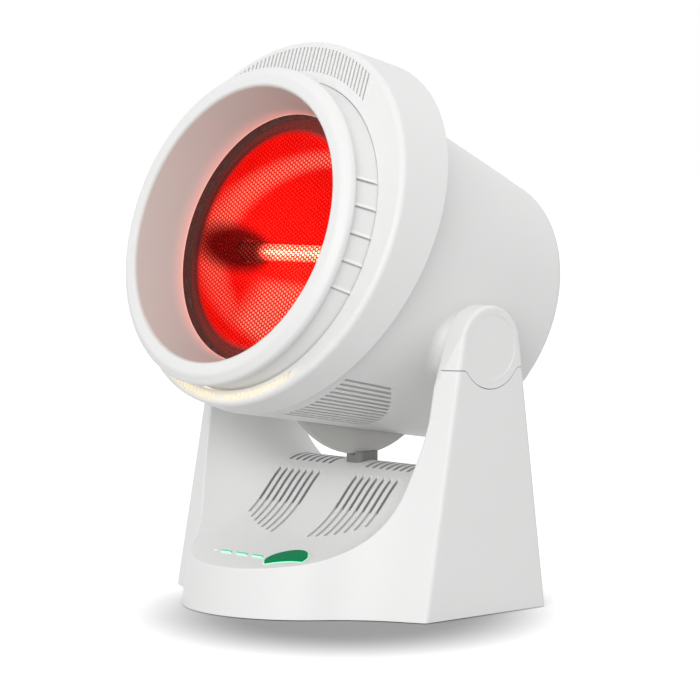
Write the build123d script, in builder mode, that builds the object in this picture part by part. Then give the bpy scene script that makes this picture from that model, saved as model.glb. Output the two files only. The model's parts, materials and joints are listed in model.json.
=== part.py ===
"""Infrared heat therapy lamp: a round lamp head that tilts between the two arms of a moulded base.

Millimetres, +Z up, front towards -Y. The origin lies on the table, under the middle of the lamp.
"""

from build123d import *
from math import acos, atan2, cos, hypot, radians, sin, sqrt, tan
import os

os.makedirs("parts", exist_ok=True)

# ---------------------------------------------------------------- tilt pivot
pivot_y = 8.5
pivot_z = 138.0
hub_radius = 8.0
hub_bore = 4.5
bush_clearance = 0.05

# ---------------------------------------------------------------- base housing
foot_gap = 0.5
base_half_width = 99.0
side_draft = 0.0077
wall = 2.6
corner_from_pivot = 48.0
rear_from_pivot = 40.0
front_lean = 0.196
rear_lean = 0.130
bulge_radius = 67.0
bulge_reach = 58.5
bulge_sweep = 50.0
arm_turn = 25.0
bulge_blend = 80.0
edge_radius = 3.0
least_corner = 0.4
dome_radius = 21.5
shoulder_drop = 32.0
shoulder_front = 34.5
shoulder_rear = 33.0
arm_thickness = 13.5
scoop_blend = 40.0
lip_round = 1.2

# the ramp between the arms: distance from the pivot in Y, height above the table
ramp_line = [(-155.0, 17.5), (-100.0, 25.0), (-76.0, 29.9), (-53.0, 36.9), (-32.3, 51.0)]
ramp_line += [(-16.2, 67.2), (-4.0, 72.6), (12.0, 71.0), (36.0, 58.0), (60.0, 40.0)]

dome_round = 2.0
seam_drop = 11.0
seam_arc_radius = 21.5
seam_gap = 0.4
seam_round = 4.0
cap_disc_radius = 17.0
cap_disc_depth = 0.4

# ---------------------------------------------------------------- vents of the ramp
slot_count = 7
slot_first_x = 14.6
slot_pitch = 5.27
slot_width = 2.2
slot_top_y = -16.2
slot_through_y = -32.3
groove_arc_y = -54.0
groove_arc_radius = 80.0
groove_depth = 0.9
crest_slot_front_y = -10.8
crest_slot_rear_y = 7.0

# ---------------------------------------------------------------- controls
window_row_y = -81.0
window_first_x = -17.4
window_pitch = 12.4
window_length = 8.8
window_width = 4.2
window_slant = 2.2
window_gap = 0.15
window_proud = 0.1
standby_x = -26.5
standby_radius = 0.8
button_x = 29.5
button_y = -79.0
button_gap = 0.35
button_proud = 1.3
button_travel = 1.0
button_rest_gap = 0.05
press_shift = (-1.0, 2.0)
skirt_gap = 0.3
skirt_grow = 1.6
skirt_thickness = 1.2
spring_radius = 5.4
spring_wire = 0.35
spring_turns = 4
spring_gap = 0.05
spring_seat_rim = 1.0
stem_length = 3.6
stem_rim = 0.6
board_z = 13.0
board_thickness = 1.6
switch_size = 6.0
switch_height = 3.4
plunger_radius = 1.7
plunger_height = 0.9

# ---------------------------------------------------------------- underside
plate_thickness = 2.6
plate_lift = 1.2
plate_gap = 0.3
foot_radius = 8.0
foot_stem_radius = 3.0
screw_radius = 1.5
screw_head_height = 1.3
screw_bite = 9.0
screw_hold_gap = 0.1
screw_pass_gap = 0.2
screw_tip_gap = 1.0
recess_reach = 1.1
recess_width = 0.45
boss_radius = 4.0
front_boss_spot = (50.0, -58.0)
rear_boss_spot = (62.0, 24.0)
foot_spots = ((38.0, -72.0), (80.0, 26.0))
foot_stem_gap = 0.05
bracket_thickness = 2.0
bracket_width = 26.0
bracket_foot_reach = 20.0
bracket_screw_inset = 9.0
bracket_screw_y = 8.0
bracket_screw_end = 1.5
gland_radius = 6.5
gland_bore = 3.6
gland_height = 16.0
gland_flange_radius = 9.0
gland_flange = 1.4
plate_vent_length = 30.0
plate_vent_width = 2.4
plate_vent_pitch = 6.0
plate_vent_count = 8
plate_vent_y = -35.0
post_radius = 3.0
control_board_width = 92.0
control_board_rear = -60.0
control_board_gap = 2.0
control_post_spots = ((40.0, -64.0), (22.0, -92.0))
power_board_size = (96.0, 48.0)
power_board_y = 6.0
power_post_spot = (42.0, 19.0)
heat_sink_spot = (-24.0, 0.0)
heat_sink_size = (28.0, 32.0, 24.0)
relay_spot = (8.0, 6.0)
relay_size = (19.0, 15.5, 15.0)
capacitor_spot = (30.0, -6.0)
capacitor_radius = 8.0
capacitor_height = 20.0
fuse_spot = (8.0, -14.0)
fuse_size = (12.0, 8.0, 9.0)
led_size = (3.2, 2.8, 1.4)
light_guide_gap = 0.3

# ---------------------------------------------------------------- guide block and fin
block_width = 12.6
block_depth = 14.5
block_top = 77.5
block_corner = 3.0
fin_thickness = 3.0
fin_radius = 62.0
fin_gap = 0.4
fin_bevel = 0.8
guide_hole_end = 1.0
guide_screw_end = 1.2
guide_screw_sink = 0.6

# ---------------------------------------------------------------- lamp head
# distances run along the head's own axis, forward from the pivot
head_tilt = 17.1
axis_lift = 33.9
shell_wall = 2.6
barrel_rear = -68.4
barrel_seam_radius = 90.6
barrel_seam = 50.0
barrel_taper = 0.141
barrel_rise = 1.0
barrel_rear_tilt = 2.7
barrel_rear_round = 6.8
neck_front = 75.5
neck_radius = 87.0
cover_radius = 61.0
cover_gap = 0.3
ledge_width = 9.0
boss_outer_radius = 19.0
boss_inner_half = 66.0
boss_side_gap = 0.6
boss_blend = 5.0
boss_edge_round = 0.8

collar_radius = 99.1
collar_flare = 0.052
collar_rise = 7.0
collar_front = 85.3
collar_front_tilt = 0.035
collar_rear = 58.8
collar_rear_tilt = 0.14
collar_rear_bend = 1600.0
collar_bend_from = 25.0
collar_round = 3.0
collar_bore_gap = 0.1
vent_count = 37
vent_pitch = 2.9
vent_width = 1.15
vent_inner_radius = 89.6
vent_outer_radius = 96.0
low_vent_count = 15
low_vent_first_x = 5.2
low_vent_pitch = 3.1
low_vent_width = 1.9
low_vent_inner_radius = 86.2
low_vent_outer_radius = 89.4

ring_front = 107.0
ring_flange = 2.5
ring_flange_radius = 88.3
ring_opening_gap = 0.4
sleeve_end = 64.0
opening_radius = 74.0
lip_radius = 85.2
lip_depth = 6.5
lip_face_inset = 4.5
lip_bevel = 3.5
band_front_radius = 81.3
band_rear_radius = 84.0
glass_seat = 78.9
funnel_end_radius = 67.0
band_step = 0.8
band_inner_step = 0.5
ring_rounds = (2.2, 3.5, 3.0, 1.2, 0.6)
funnel_foot = 5.0
sleeve_shoulder = 3.0
rib_count = 5
rib_pitch = 10.0
rib_front = 98.0
rib_rear = 84.0
rib_end = 86.2
rib_width = 1.8
rib_height = 1.1
rib_front_height = 0.66
rib_root = 1.0
rib_end_root = 1.5
groove_count = 13
groove_first_angle = -48.4
groove_angle_pitch = 2.35
groove_reach = 22.7
groove_rear_end = 0.7
groove_fade_count = 10
groove_fade_power = 1.7
patch_groove_front = 61.0
patch_groove_width = 1.7
patch_groove_depth = 0.9

# ---------------------------------------------------------------- inside the head
glass_radius = 69.7
glass_thickness = 4.2
glass_edge_bevel = 0.4
sleeve_radius = 70.1
sleeve_wall = 2.6
gasket_thickness = 1.8
gasket_width = 3.8
bowl_thickness = 0.8
bowl_back = 27.0
rim_radius = 65.0
flange_thickness = 1.0
retainer_thickness = 2.4
retainer_gap = 0.4
lamp_s = 47.0
tube_radius = 4.5
tube_wall = 1.0
seat_clearance = 0.02
tube_half = 45.0
cap_root = 41.0
cap_end = 60.0
cap_radius = 5.2
cap_bore_depth = 4.0
lamp_hole_radius = 6.4
element_radius = 1.2
holder_inner = 56.6
holder_block = 6.0
holder_height = 14.0
holder_depth = 12.0
holder_strap = 3.0
shield_radius = 76.0
shield_thickness = 0.8
shield_back = 21.5
shield_hole = 20.0
cutout_radius = 8.0
cutout_depth = 6.5
terminal_size = (30.0, 12.0, 10.0)
shield_part_rise = 45.0

fan_size = 80.0
fan_depth = 25.0
fan_duct_radius = 38.0
fan_duct_wall = 1.6
fan_corner = 4.0
fan_tip_radius = 36.8
fan_hub_radius = 17.0
fan_hub_wall = 1.4
fan_blades = 7
fan_blade_thickness = 1.5
fan_blade_chord = 22.0
fan_flange = 4.0
fan_strut_width = 4.0
fan_strut_angle = 20.0
fan_front_gap = 1.5
fan_blade_pitch = 38.0
fan_shaft_radius = 1.5
fan_shaft_clearance = 0.05
fan_screw_spacing = 71.5
fan_screw_radius = 1.4
fan_screw_pass_gap = 0.6
fan_screw_end = 0.4
fan_post_radius = 4.0
fan_post_height = 3.9
fan_mount_thickness = 2.0
fan_face_gap = 1.2
stator_radius = 13.5
stator_depth = 14.0

cover_thickness = 2.6
cover_edge_round = 1.0
cover_screw_circle = 56.5
cover_slot_pitch = 7.0
cover_slot_width = 3.4
cover_slot_reach = 40.0
cover_slot_count = 11

# ---------------------------------------------------------------- pivot stack
# distances from the middle in X
hub_flange_radius = 11.0
hub_flange = 2.5
hub_end = 93.2
hub_hole_gap = 0.1
arm_hole_radius = 8.6
bracket_x = 88.4
bush_radius = 10.5
bush_flange_radius = 12.5
bush_flange = 1.0
washer_gap = 0.3
washer_thickness = 0.6
pivot_ring_thickness = 1.4

# ---------------------------------------------------------------- frames
front_way = Vector(0, -cos(radians(head_tilt)), sin(radians(head_tilt)))
head_up = Vector(0, sin(radians(head_tilt)), cos(radians(head_tilt)))
pivot_point = Vector(0, pivot_y, pivot_z)
head_centre = pivot_point + head_up * axis_lift
HEAD_AXIS = Axis(head_centre, front_way)
HEAD_SECTION = Plane(origin=head_centre, x_dir=front_way, z_dir=(-1, 0, 0))
arm_inner_x = base_half_width - arm_thickness


def face_at(distance):
    """The plane across the head's axis, this far in front of the pivot, its Y upwards."""
    return Plane(origin=head_centre + front_way * distance, x_dir=(1, 0, 0), z_dir=front_way)


def side_plane(x):
    """The plane across the pivot, at this X, its own X towards +Y and its Y upwards."""
    return Plane(origin=(x, pivot_y, pivot_z), x_dir=(0, 1, 0), z_dir=(1, 0, 0))


def barrel_radius(distance):
    """Outer radius of the tapered barrel at a distance along the head's axis."""
    return barrel_seam_radius - barrel_taper * (barrel_seam - distance)


def rear_at(depth):
    """The plane this far inside the barrel's rear face, which leans a little; its Z points forward."""
    tilt = radians(head_tilt + barrel_rear_tilt)
    inwards = Vector(0, -cos(tilt), sin(tilt))
    middle = head_centre + head_up * barrel_rise + front_way * barrel_rear
    return Plane(origin=middle + inwards * depth, x_dir=(1, 0, 0), z_dir=inwards)


def save(builder, label):
    """Labels a finished piece and writes it to its own file."""
    builder.part.label = label
    export_step(builder.part, f"parts/{label}.step")


# ================================================================ base housing
def base_outline(height, inset):
    """The housing's outline at a height, moved inwards by inset: a bow in front, flat sides and rear."""
    half_width = base_half_width - side_draft * height - inset
    shift = pivot_y + front_lean * height
    radius = bulge_radius - inset
    centre_y = shift - corner_from_pivot - bulge_reach + bulge_radius
    sweep, turn = radians(bulge_sweep), radians(arm_turn)
    corner_y = shift - corner_from_pivot + inset * (1 / cos(turn) - tan(turn))
    arc_end = Vector(radius * sin(sweep), centre_y - radius * cos(sweep))
    rise = corner_y - arc_end.Y + tan(sweep) * arc_end.X - tan(turn) * half_width
    meet_x = rise / (tan(sweep) - tan(turn))
    meet = (meet_x, arc_end.Y + tan(sweep) * (meet_x - arc_end.X))
    rear_y = pivot_y + rear_from_pivot - rear_lean * height - inset
    corner = max(edge_radius - inset, least_corner)
    with BuildSketch(Plane.XY.offset(height)) as outline:
        with BuildLine():
            CenterArc((0, centre_y), radius, -90, bulge_sweep)
            FilletPolyline(
                arc_end,
                meet,
                (half_width, corner_y),
                (half_width, rear_y),
                (0, rear_y),
                radius=(bulge_blend + inset, corner, corner),
            )
            mirror(about=Plane.YZ)
        make_face()
    return outline.sketch


def tangent_point(point, radius, side):
    """Where the line from a point touches the dome's circle, on the chosen side."""
    along = atan2(point[1] - pivot_z, point[0] - pivot_y)
    turn = along + side * acos(radius / hypot(point[0] - pivot_y, point[1] - pivot_z))
    return (pivot_y + radius * cos(turn), pivot_z + radius * sin(turn))


def side_region(inset):
    """What the arms' domed tops leave, seen from the side."""
    radius = dome_radius - inset
    shoulder = pivot_z - shoulder_drop
    front = (pivot_y - shoulder_front + inset, shoulder)
    rear = (pivot_y + shoulder_rear - inset, shoulder)
    front_touch = tangent_point(front, radius, -1)
    rear_touch = tangent_point(rear, radius, 1)
    far = 3 * corner_from_pivot
    with BuildSketch(Plane.YZ) as region:
        with BuildLine():
            Polyline(
                front_touch,
                front,
                (-far, shoulder),
                (-far, -wall),
                (far, -wall),
                (far, shoulder),
                rear,
                rear_touch,
            )
            ThreePointArc(rear_touch, (pivot_y, pivot_z + radius), front_touch)
        make_face()
    return region.sketch


def ramp_curve(drop):
    """The ramp's line seen from the side, moved below itself by drop."""
    ramp = Spline(*[(pivot_y + y, z) for y, z in ramp_line], mode=Mode.PRIVATE)
    if drop == 0:
        return ramp
    steps = 14
    lowered = []
    for step in range(steps + 1):
        along = ramp % (step / steps)
        lowered.append(ramp @ (step / steps) + Vector(along.Y, -along.X) * drop)
    return Spline(*lowered, mode=Mode.PRIVATE)


def scoop(growth):
    """The room between the arms and above the ramp, grown on every side."""
    with BuildPart() as room:
        with BuildSketch(Plane.YZ):
            with BuildLine():
                ramp = ramp_curve(growth)
                add(ramp)
                top = pivot_z + 2 * dome_radius
                Polyline(ramp @ 1, ((ramp @ 1).X, top), ((ramp @ 0).X, top), ramp @ 0)
            make_face()
        extrude(amount=arm_inner_x + growth, both=True)
        sides = room.edges().filter_by(GeomType.BSPLINE).filter_by(lambda edge: abs(edge.center().X) > 1)
        fillet(sides, radius=scoop_blend + growth)
    return room.part


def arm_domes(inset):
    """The room the side view leaves, narrowed to the drafted outer faces of the arms."""
    low, high = -2 * wall, pivot_z + 2 * dome_radius
    with BuildPart() as arms:
        extrude(side_region(inset), amount=2 * base_half_width, both=True)
        with BuildSketch(Plane.XZ):
            with BuildLine():
                Polyline(
                    (base_half_width - inset - side_draft * low, low),
                    (base_half_width - inset - side_draft * high, high),
                    (-base_half_width + inset + side_draft * high, high),
                    (-base_half_width + inset + side_draft * low, low),
                    close=True,
                )
            make_face()
        extrude(amount=4 * base_half_width, both=True, mode=Mode.INTERSECT)
        if inset == 0:
            upper = arms.edges().filter_by(lambda edge: edge.center().Z > pivot_z - shoulder_drop + wall)
            fillet(upper.filter_by(lambda edge: edge.bounding_box().size.X < 1), radius=dome_round)
    return arms.part


def base_body(inset):
    """The solid form of the housing with its arms, before or after its wall is taken off."""
    height = pivot_z + 1.5 * dome_radius
    start = foot_gap if inset == 0 else foot_gap - wall
    room = scoop(inset)
    with BuildPart() as body:
        with BuildSketch(Plane.XY.offset(start)):
            add(base_outline(start, inset))
        with BuildSketch(Plane.XY.offset(height)):
            add(base_outline(height, inset))
        loft(ruled=True)
        add(arm_domes(inset), mode=Mode.INTERSECT)
        add(room, mode=Mode.SUBTRACT)
        if inset == 0:
            # the rim round the room between the arms is rounded all the way
            near = 0.01
            touching = [edge for edge in body.edges() if room.distance_to(edge @ 0.5) < near]
            touching = [edge for edge in touching if room.distance_to(edge @ 0.2) < near]
            room_edges = room.edges()
            rim = []
            for edge in touching:
                if min(own.distance_to(edge @ 0.5) for own in room_edges) > near:
                    rim.append(edge)
            fillet(rim, radius=lip_round)
    return body.part


def seam_region(x, lift):
    """The region above a cap's seam in the plane across X: flat at the edges, dipping round the pivot."""
    far = 3 * dome_radius
    with BuildSketch(side_plane(x)) as region:
        with Locations((0, lift - seam_drop)):
            Rectangle(2 * far, far, align=(Align.CENTER, Align.MIN))
        Circle(seam_arc_radius - lift)
        corners = region.vertices().filter_by(lambda corner: abs(corner.X) < seam_arc_radius)
        fillet(corners, radius=seam_round)
    return region.sketch


def screw_set(places, length, radius=screw_radius):
    """One cross-recess screw per place; the place's Z axis runs from the head into the hole."""
    with BuildPart() as one_screw:
        Cylinder(radius, length, align=(Align.CENTER, Align.CENTER, Align.MIN))
        Cylinder(2 * radius, screw_head_height, align=(Align.CENTER, Align.CENTER, Align.MAX))
        with Locations((0, 0, -screw_head_height)):
            long, narrow = 2 * recess_reach * radius, recess_width * radius
            Box(long, narrow, screw_head_height, mode=Mode.SUBTRACT)
            Box(narrow, long, screw_head_height, mode=Mode.SUBTRACT)
    with BuildPart() as screws:
        with Locations(*places):
            add(one_screw.part)
    return screws.part


outer_body = base_body(0)
inner_body = base_body(wall)

slot_places = [slot_first_x + slot_pitch * number for number in range(slot_count)]
slot_places += [-x for x in slot_places]
plate_z = foot_gap + plate_lift
plate_top = plate_z + plate_thickness
boss_places = [(side * x, pivot_y + y) for side in (-1, 1) for x, y in (front_boss_spot, rear_boss_spot)]


def button_outline(grow):
    """The push button from above: a leaf whose tip points to the front left, hollow on its near side."""
    tip, far_side, rear = (-7.0, -10.5), (-11.6, 2.0), (-1.5, 10.2)
    rear_bend, shoulder = (6.5, 7.4), (10.6, 1.2)
    notch, near_side = (11.5, -1.2), (1.3, -3.6)
    with BuildSketch() as leaf:
        with BuildLine():
            ThreePointArc(tip, far_side, rear)
            ThreePointArc(rear, rear_bend, shoulder)
            Line(shoulder, notch)
            ThreePointArc(notch, near_side, tip)
        make_face()
        if grow:
            offset(amount=grow)
    return leaf.sketch


def window_outline(grow):
    """One timer window from above: a short slanted bar."""
    half, deep = window_length / 2 + grow, window_width / 2 + grow
    with BuildSketch() as bar:
        with BuildLine():
            Polyline(
                (-half + window_slant, -deep),
                (half + window_slant, -deep),
                (half - window_slant, deep),
                (-half - window_slant, deep),
                close=True,
            )
        make_face()
    return bar.sketch


window_places = [(window_first_x + window_pitch * number, pivot_y + window_row_y) for number in range(3)]
button_place = (button_x, pivot_y + button_y)
standby_place = (standby_x, pivot_y + window_row_y)
roof = pivot_z

groove_ends = [groove_arc_y + x**2 / (2 * groove_arc_radius) for x in slot_places]
with BuildPart() as groove_slots:
    with BuildSketch(Plane.XY.offset(roof)):
        for x, end in zip(slot_places, groove_ends):
            with Locations((x, pivot_y + (slot_through_y + 1.0 + end) / 2)):
                SlotOverall(slot_through_y + 1.0 - end, slot_width, rotation=90)
    extrude(amount=plate_top - roof)
    add(scoop(groove_depth), mode=Mode.INTERSECT)
groove_tool = groove_slots.part

# screw bosses that hang from the ramp; they end halfway up its wall
with BuildPart() as screw_bosses:
    with BuildSketch(Plane.XY.offset(plate_top)):
        with Locations(*boss_places):
            Circle(boss_radius)
    extrude(amount=pivot_z - dome_radius - plate_top)
    add(scoop(wall / 2), mode=Mode.SUBTRACT)
    with BuildSketch(Plane.XY.offset(plate_top)):
        with Locations(*boss_places):
            Circle(screw_radius + screw_hold_gap)
    extrude(amount=screw_bite + screw_tip_gap, mode=Mode.SUBTRACT)

with BuildPart() as whole_shell:
    add(outer_body)
    add(inner_body, mode=Mode.SUBTRACT)
    add(screw_bosses.part)
    # open slots, high on the ramp and over its crest
    with BuildSketch(Plane.XY.offset(roof)):
        with Locations(*[(x, pivot_y + (slot_top_y + slot_through_y) / 2) for x in slot_places]):
            SlotOverall(slot_top_y - slot_through_y, slot_width, rotation=90)
        with Locations(*[(x, pivot_y + (crest_slot_front_y + crest_slot_rear_y) / 2) for x in slot_places]):
            SlotOverall(crest_slot_rear_y - crest_slot_front_y, slot_width, rotation=90)
    extrude(amount=plate_top - roof, mode=Mode.SUBTRACT)
    # the same slots run on down the ramp as shallow grooves
    add(groove_tool, mode=Mode.SUBTRACT)
    # openings for the timer windows, the standby light and the button
    with BuildSketch(Plane.XY.offset(roof)):
        with Locations(*window_places):
            add(window_outline(window_gap))
        with Locations(standby_place):
            Circle(standby_radius + window_gap)
        with Locations(button_place):
            add(button_outline(button_gap))
    extrude(amount=board_z - roof, mode=Mode.SUBTRACT)
    # cord gland hole in the rear wall
    with BuildSketch(Plane.XZ.offset(-pivot_y - 2 * rear_from_pivot)):
        with Locations((0, gland_height)):
            Circle(gland_radius)
    extrude(amount=2 * rear_from_pivot, mode=Mode.SUBTRACT)
    # holes for the hubs through the inner walls of both arms
    for x in (-arm_inner_x - wall - 1.0, arm_inner_x - 1.0):
        with BuildSketch(side_plane(x)):
            Circle(arm_hole_radius)
    extrude(amount=wall + 2.0, mode=Mode.SUBTRACT)
    # hole for the guide block's screw
    with BuildSketch(Plane.XY.offset(plate_top)):
        with Locations((0, pivot_y)):
            Circle(screw_radius + screw_pass_gap)
    extrude(amount=pivot_z - dome_radius - plate_top, mode=Mode.SUBTRACT)

# the caps are what lies above the seam and outside the arms' inner walls
cap_inner_x = arm_inner_x + wall
with BuildPart() as base_housing:
    add(whole_shell.part)
    for side in (1, -1):
        above_seam = seam_region(side * cap_inner_x, -seam_gap / 2)
        extrude(above_seam, amount=side * base_half_width, mode=Mode.SUBTRACT)
save(base_housing, "base_housing")

outer_face_x = base_half_width - side_draft * pivot_z
for side, label in ((1, "right_arm_cap"), (-1, "left_arm_cap")):
    with BuildPart() as arm_cap:
        add(whole_shell.part)
        above_seam = seam_region(side * cap_inner_x, seam_gap / 2)
        extrude(above_seam, amount=side * base_half_width, mode=Mode.INTERSECT)
        with BuildSketch(side_plane(side * (outer_face_x - cap_disc_depth))):
            Circle(cap_disc_radius)
        extrude(amount=side * wall, mode=Mode.SUBTRACT)
    save(arm_cap, label)

# ================================================================ underside
plate_inset = wall + plate_gap
foot_places = [(side * x, pivot_y + y) for side in (-1, 1) for x, y in foot_spots]
bracket_screw_x = bracket_x + bracket_thickness - bracket_foot_reach + bracket_screw_inset
bracket_screw_ys = (pivot_y - bracket_screw_y, pivot_y + bracket_screw_y)
bracket_screw_places = [(side * bracket_screw_x, y) for side in (-1, 1) for y in bracket_screw_ys]
control_posts = [(side * x, pivot_y + y) for side in (-1, 1) for x, y in control_post_spots]
power_board_middle = pivot_y + power_board_y
power_post_x, power_post_y = power_post_spot
power_post_ys = (power_board_middle - power_post_y, power_board_middle + power_post_y)
power_posts = [(x, y) for x in (-power_post_x, power_post_x) for y in power_post_ys]
with BuildPart() as base_plate:
    for height in (plate_z, plate_top):
        with BuildSketch(Plane.XY.offset(height)):
            add(base_outline(height, plate_inset))
    loft(ruled=True)
    with BuildSketch(Plane.XY.offset(plate_top)):
        with Locations(*control_posts, *power_posts):
            Circle(post_radius)
    extrude(amount=board_z - plate_top)
    with BuildSketch(Plane.XY.offset(plate_z)):
        with Locations(*boss_places, *bracket_screw_places):
            Circle(screw_radius + screw_pass_gap)
        with Locations(*foot_places):
            Circle(foot_stem_radius + foot_stem_gap)
        with Locations((0, pivot_y + plate_vent_y)):
            with GridLocations(plate_vent_pitch, plate_vent_length, plate_vent_count, 1):
                SlotOverall(plate_vent_length, plate_vent_width, rotation=90)
    extrude(amount=plate_thickness, mode=Mode.SUBTRACT)
save(base_plate, "base_plate")

with BuildPart() as rubber_feet:
    with BuildSketch():
        with Locations(*foot_places):
            Circle(foot_radius)
    extrude(amount=plate_z)
    with BuildSketch():
        with Locations(*foot_places):
            Circle(foot_stem_radius)
    extrude(amount=plate_top)
save(rubber_feet, "rubber_feet")

with BuildPart() as base_screws:
    add(screw_set([Location((x, y, plate_z)) for x, y in boss_places], plate_thickness + screw_bite))
save(base_screws, "base_screws")

for side, label in ((1, "right_arm_bracket"), (-1, "left_arm_bracket")):
    with BuildPart() as arm_bracket:
        with BuildSketch(side_plane(side * bracket_x)):
            Rectangle(bracket_width, pivot_z - plate_top, align=(Align.CENTER, Align.MAX))
            Circle(bracket_width / 2)
            Circle(bush_radius, mode=Mode.SUBTRACT)
        extrude(amount=side * bracket_thickness)
        with BuildSketch(Plane.XY.offset(plate_top)):
            with Locations((side * (bracket_x + bracket_thickness - bracket_foot_reach / 2), pivot_y)):
                Rectangle(bracket_foot_reach, bracket_width)
        extrude(amount=bracket_thickness)
        with BuildSketch(Plane.XY.offset(plate_top)):
            with Locations(*bracket_screw_places):
                Circle(screw_radius + screw_hold_gap)
        extrude(amount=bracket_thickness, mode=Mode.SUBTRACT)
    save(arm_bracket, label)

with BuildPart() as bracket_screws:
    places = [Location((x, y, plate_z)) for x, y in bracket_screw_places]
    add(screw_set(places, plate_thickness + bracket_thickness + bracket_screw_end))
save(bracket_screws, "bracket_screws")

# ================================================================ guide block
with BuildPart() as guide_block:
    with BuildSketch(Plane.XY.offset(block_top)):
        with Locations((0, pivot_y)):
            RectangleRounded(block_width, block_depth, block_corner)
    extrude(amount=-(block_top - plate_top))
    add(scoop(0), mode=Mode.INTERSECT)
    with BuildSketch(side_plane(-fin_thickness / 2 - fin_gap)):
        Circle(fin_radius + fin_gap)
    extrude(amount=fin_thickness + 2 * fin_gap, mode=Mode.SUBTRACT)
    with BuildSketch(Plane.XY.offset(plate_top)):
        with Locations((0, pivot_y)):
            Circle(screw_radius + screw_hold_gap)
    extrude(amount=pivot_z - fin_radius - guide_hole_end - plate_top, mode=Mode.SUBTRACT)
save(guide_block, "guide_block")

# in the ramp's own line, X is the distance along Y and Y the height
under_crest = max((ramp_curve(wall) @ (step / 40)).Y for step in range(41))
guide_screw_z = under_crest - guide_screw_sink
with BuildPart() as guide_screw:
    reach = pivot_z - fin_radius - guide_screw_end - guide_screw_z
    add(screw_set([Location((0, pivot_y, guide_screw_z))], reach))
save(guide_screw, "guide_screw")

# ================================================================ control board, button and lights
STANDING = (Align.CENTER, Align.CENTER, Align.MIN)
board_top = board_z + board_thickness
press_point = (button_place[0] + press_shift[0], button_place[1] + press_shift[1])
with BuildPart() as control_board:
    for height in (board_z, board_top):
        with BuildSketch(Plane.XY.offset(height)):
            add(base_outline(height, wall + control_board_gap))
            with Locations((0, pivot_y + control_board_rear)):
                Rectangle(
                    control_board_width,
                    base_half_width,
                    align=(Align.CENTER, Align.MAX),
                    mode=Mode.INTERSECT,
                )
    loft(ruled=True)
save(control_board, "control_board")

with BuildPart() as led_lamps:
    with Locations(*[(x, y, board_top) for x, y in (*window_places, standby_place)]):
        Box(*led_size, align=STANDING)
save(led_lamps, "led_lamps")

with BuildPart() as led_windows:
    with BuildSketch(Plane.XY.offset(board_top + led_size[2] + light_guide_gap)):
        with Locations(*window_places):
            add(window_outline(0))
        with Locations(standby_place):
            Circle(standby_radius)
    extrude(amount=pivot_z - dome_radius - board_top)
    add(scoop(-window_proud), mode=Mode.SUBTRACT)
save(led_windows, "led_windows")

switch_top = board_top + switch_height
plunger_top = switch_top + plunger_height
with BuildPart() as tact_switch:
    with Locations((*press_point, board_top)):
        Box(switch_size, switch_size, switch_height, align=STANDING)
        Cylinder(plunger_radius, switch_height + plunger_height, align=STANDING)
save(tact_switch, "tact_switch")

# the button: a leaf that stands a little above the ramp, with a skirt under the shell and a pressing stem
skirt_drop = wall + skirt_gap
seat_z = plunger_top + button_travel + button_rest_gap + stem_length
with BuildPart() as button_leaf:
    with BuildSketch(Plane.XY.offset(seat_z)):
        with Locations(button_place):
            add(button_outline(0))
    extrude(amount=pivot_z - dome_radius - seat_z)
    add(scoop(-button_proud), mode=Mode.SUBTRACT)
    add(scoop(skirt_drop + skirt_thickness), mode=Mode.INTERSECT)
with BuildPart() as button_skirt:
    with BuildSketch(Plane.XY.offset(seat_z)):
        with Locations(button_place):
            add(button_outline(skirt_grow))
    extrude(amount=pivot_z - dome_radius - seat_z)
    add(scoop(skirt_drop), mode=Mode.SUBTRACT)
    add(scoop(skirt_drop + skirt_thickness), mode=Mode.INTERSECT)
with BuildPart() as power_button:
    with BuildSketch(Plane.XY.offset(seat_z)):
        with Locations(press_point):
            Circle(spring_radius + spring_seat_rim)
    extrude(amount=2 * skirt_drop)
    add(scoop(skirt_drop), mode=Mode.SUBTRACT)
    with BuildSketch(Plane.XY.offset(seat_z)):
        with Locations(press_point):
            Circle(plunger_radius + stem_rim)
    extrude(amount=-stem_length)
    add(button_skirt.part)
    add(button_leaf.part)
save(power_button, "power_button")

spring_low = board_top + spring_wire + spring_gap
spring_height = seat_z - spring_wire - spring_gap - spring_low
with BuildPart() as button_spring:
    with BuildLine():
        coil = Helix(
            spring_height / spring_turns,
            spring_height,
            spring_radius,
            center=(*press_point, spring_low),
        )
    with BuildSketch(Plane(origin=coil @ 0, z_dir=coil % 0)):
        Circle(spring_wire)
    sweep()
save(button_spring, "button_spring")

# ================================================================ power board and cord gland
with BuildPart() as power_board:
    with Locations((0, power_board_middle, board_z)):
        Box(*power_board_size, board_thickness, align=STANDING)
save(power_board, "power_board")

with BuildPart() as power_parts:
    for spot, size in ((heat_sink_spot, heat_sink_size), (relay_spot, relay_size), (fuse_spot, fuse_size)):
        with Locations((spot[0], power_board_middle + spot[1], board_top)):
            Box(*size, align=STANDING)
    with Locations((capacitor_spot[0], power_board_middle + capacitor_spot[1], board_top)):
        Cylinder(capacitor_radius, capacitor_height, align=STANDING)
save(power_parts, "power_parts")

rear_wall_y = pivot_y + rear_from_pivot - rear_lean * gland_height
with BuildPart() as cord_gland:
    with BuildSketch(Plane.XZ.offset(-rear_wall_y - gland_flange)):
        with Locations((0, gland_height)):
            Circle(gland_flange_radius)
    extrude(amount=wall + 4 * gland_flange)
    add(whole_shell.part, mode=Mode.SUBTRACT)
    with BuildSketch(Plane.XZ.offset(-rear_wall_y - gland_flange)):
        with Locations((0, gland_height)):
            Circle(gland_bore)
    extrude(amount=wall + 4 * gland_flange, mode=Mode.SUBTRACT)
save(cord_gland, "cord_gland")

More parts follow.
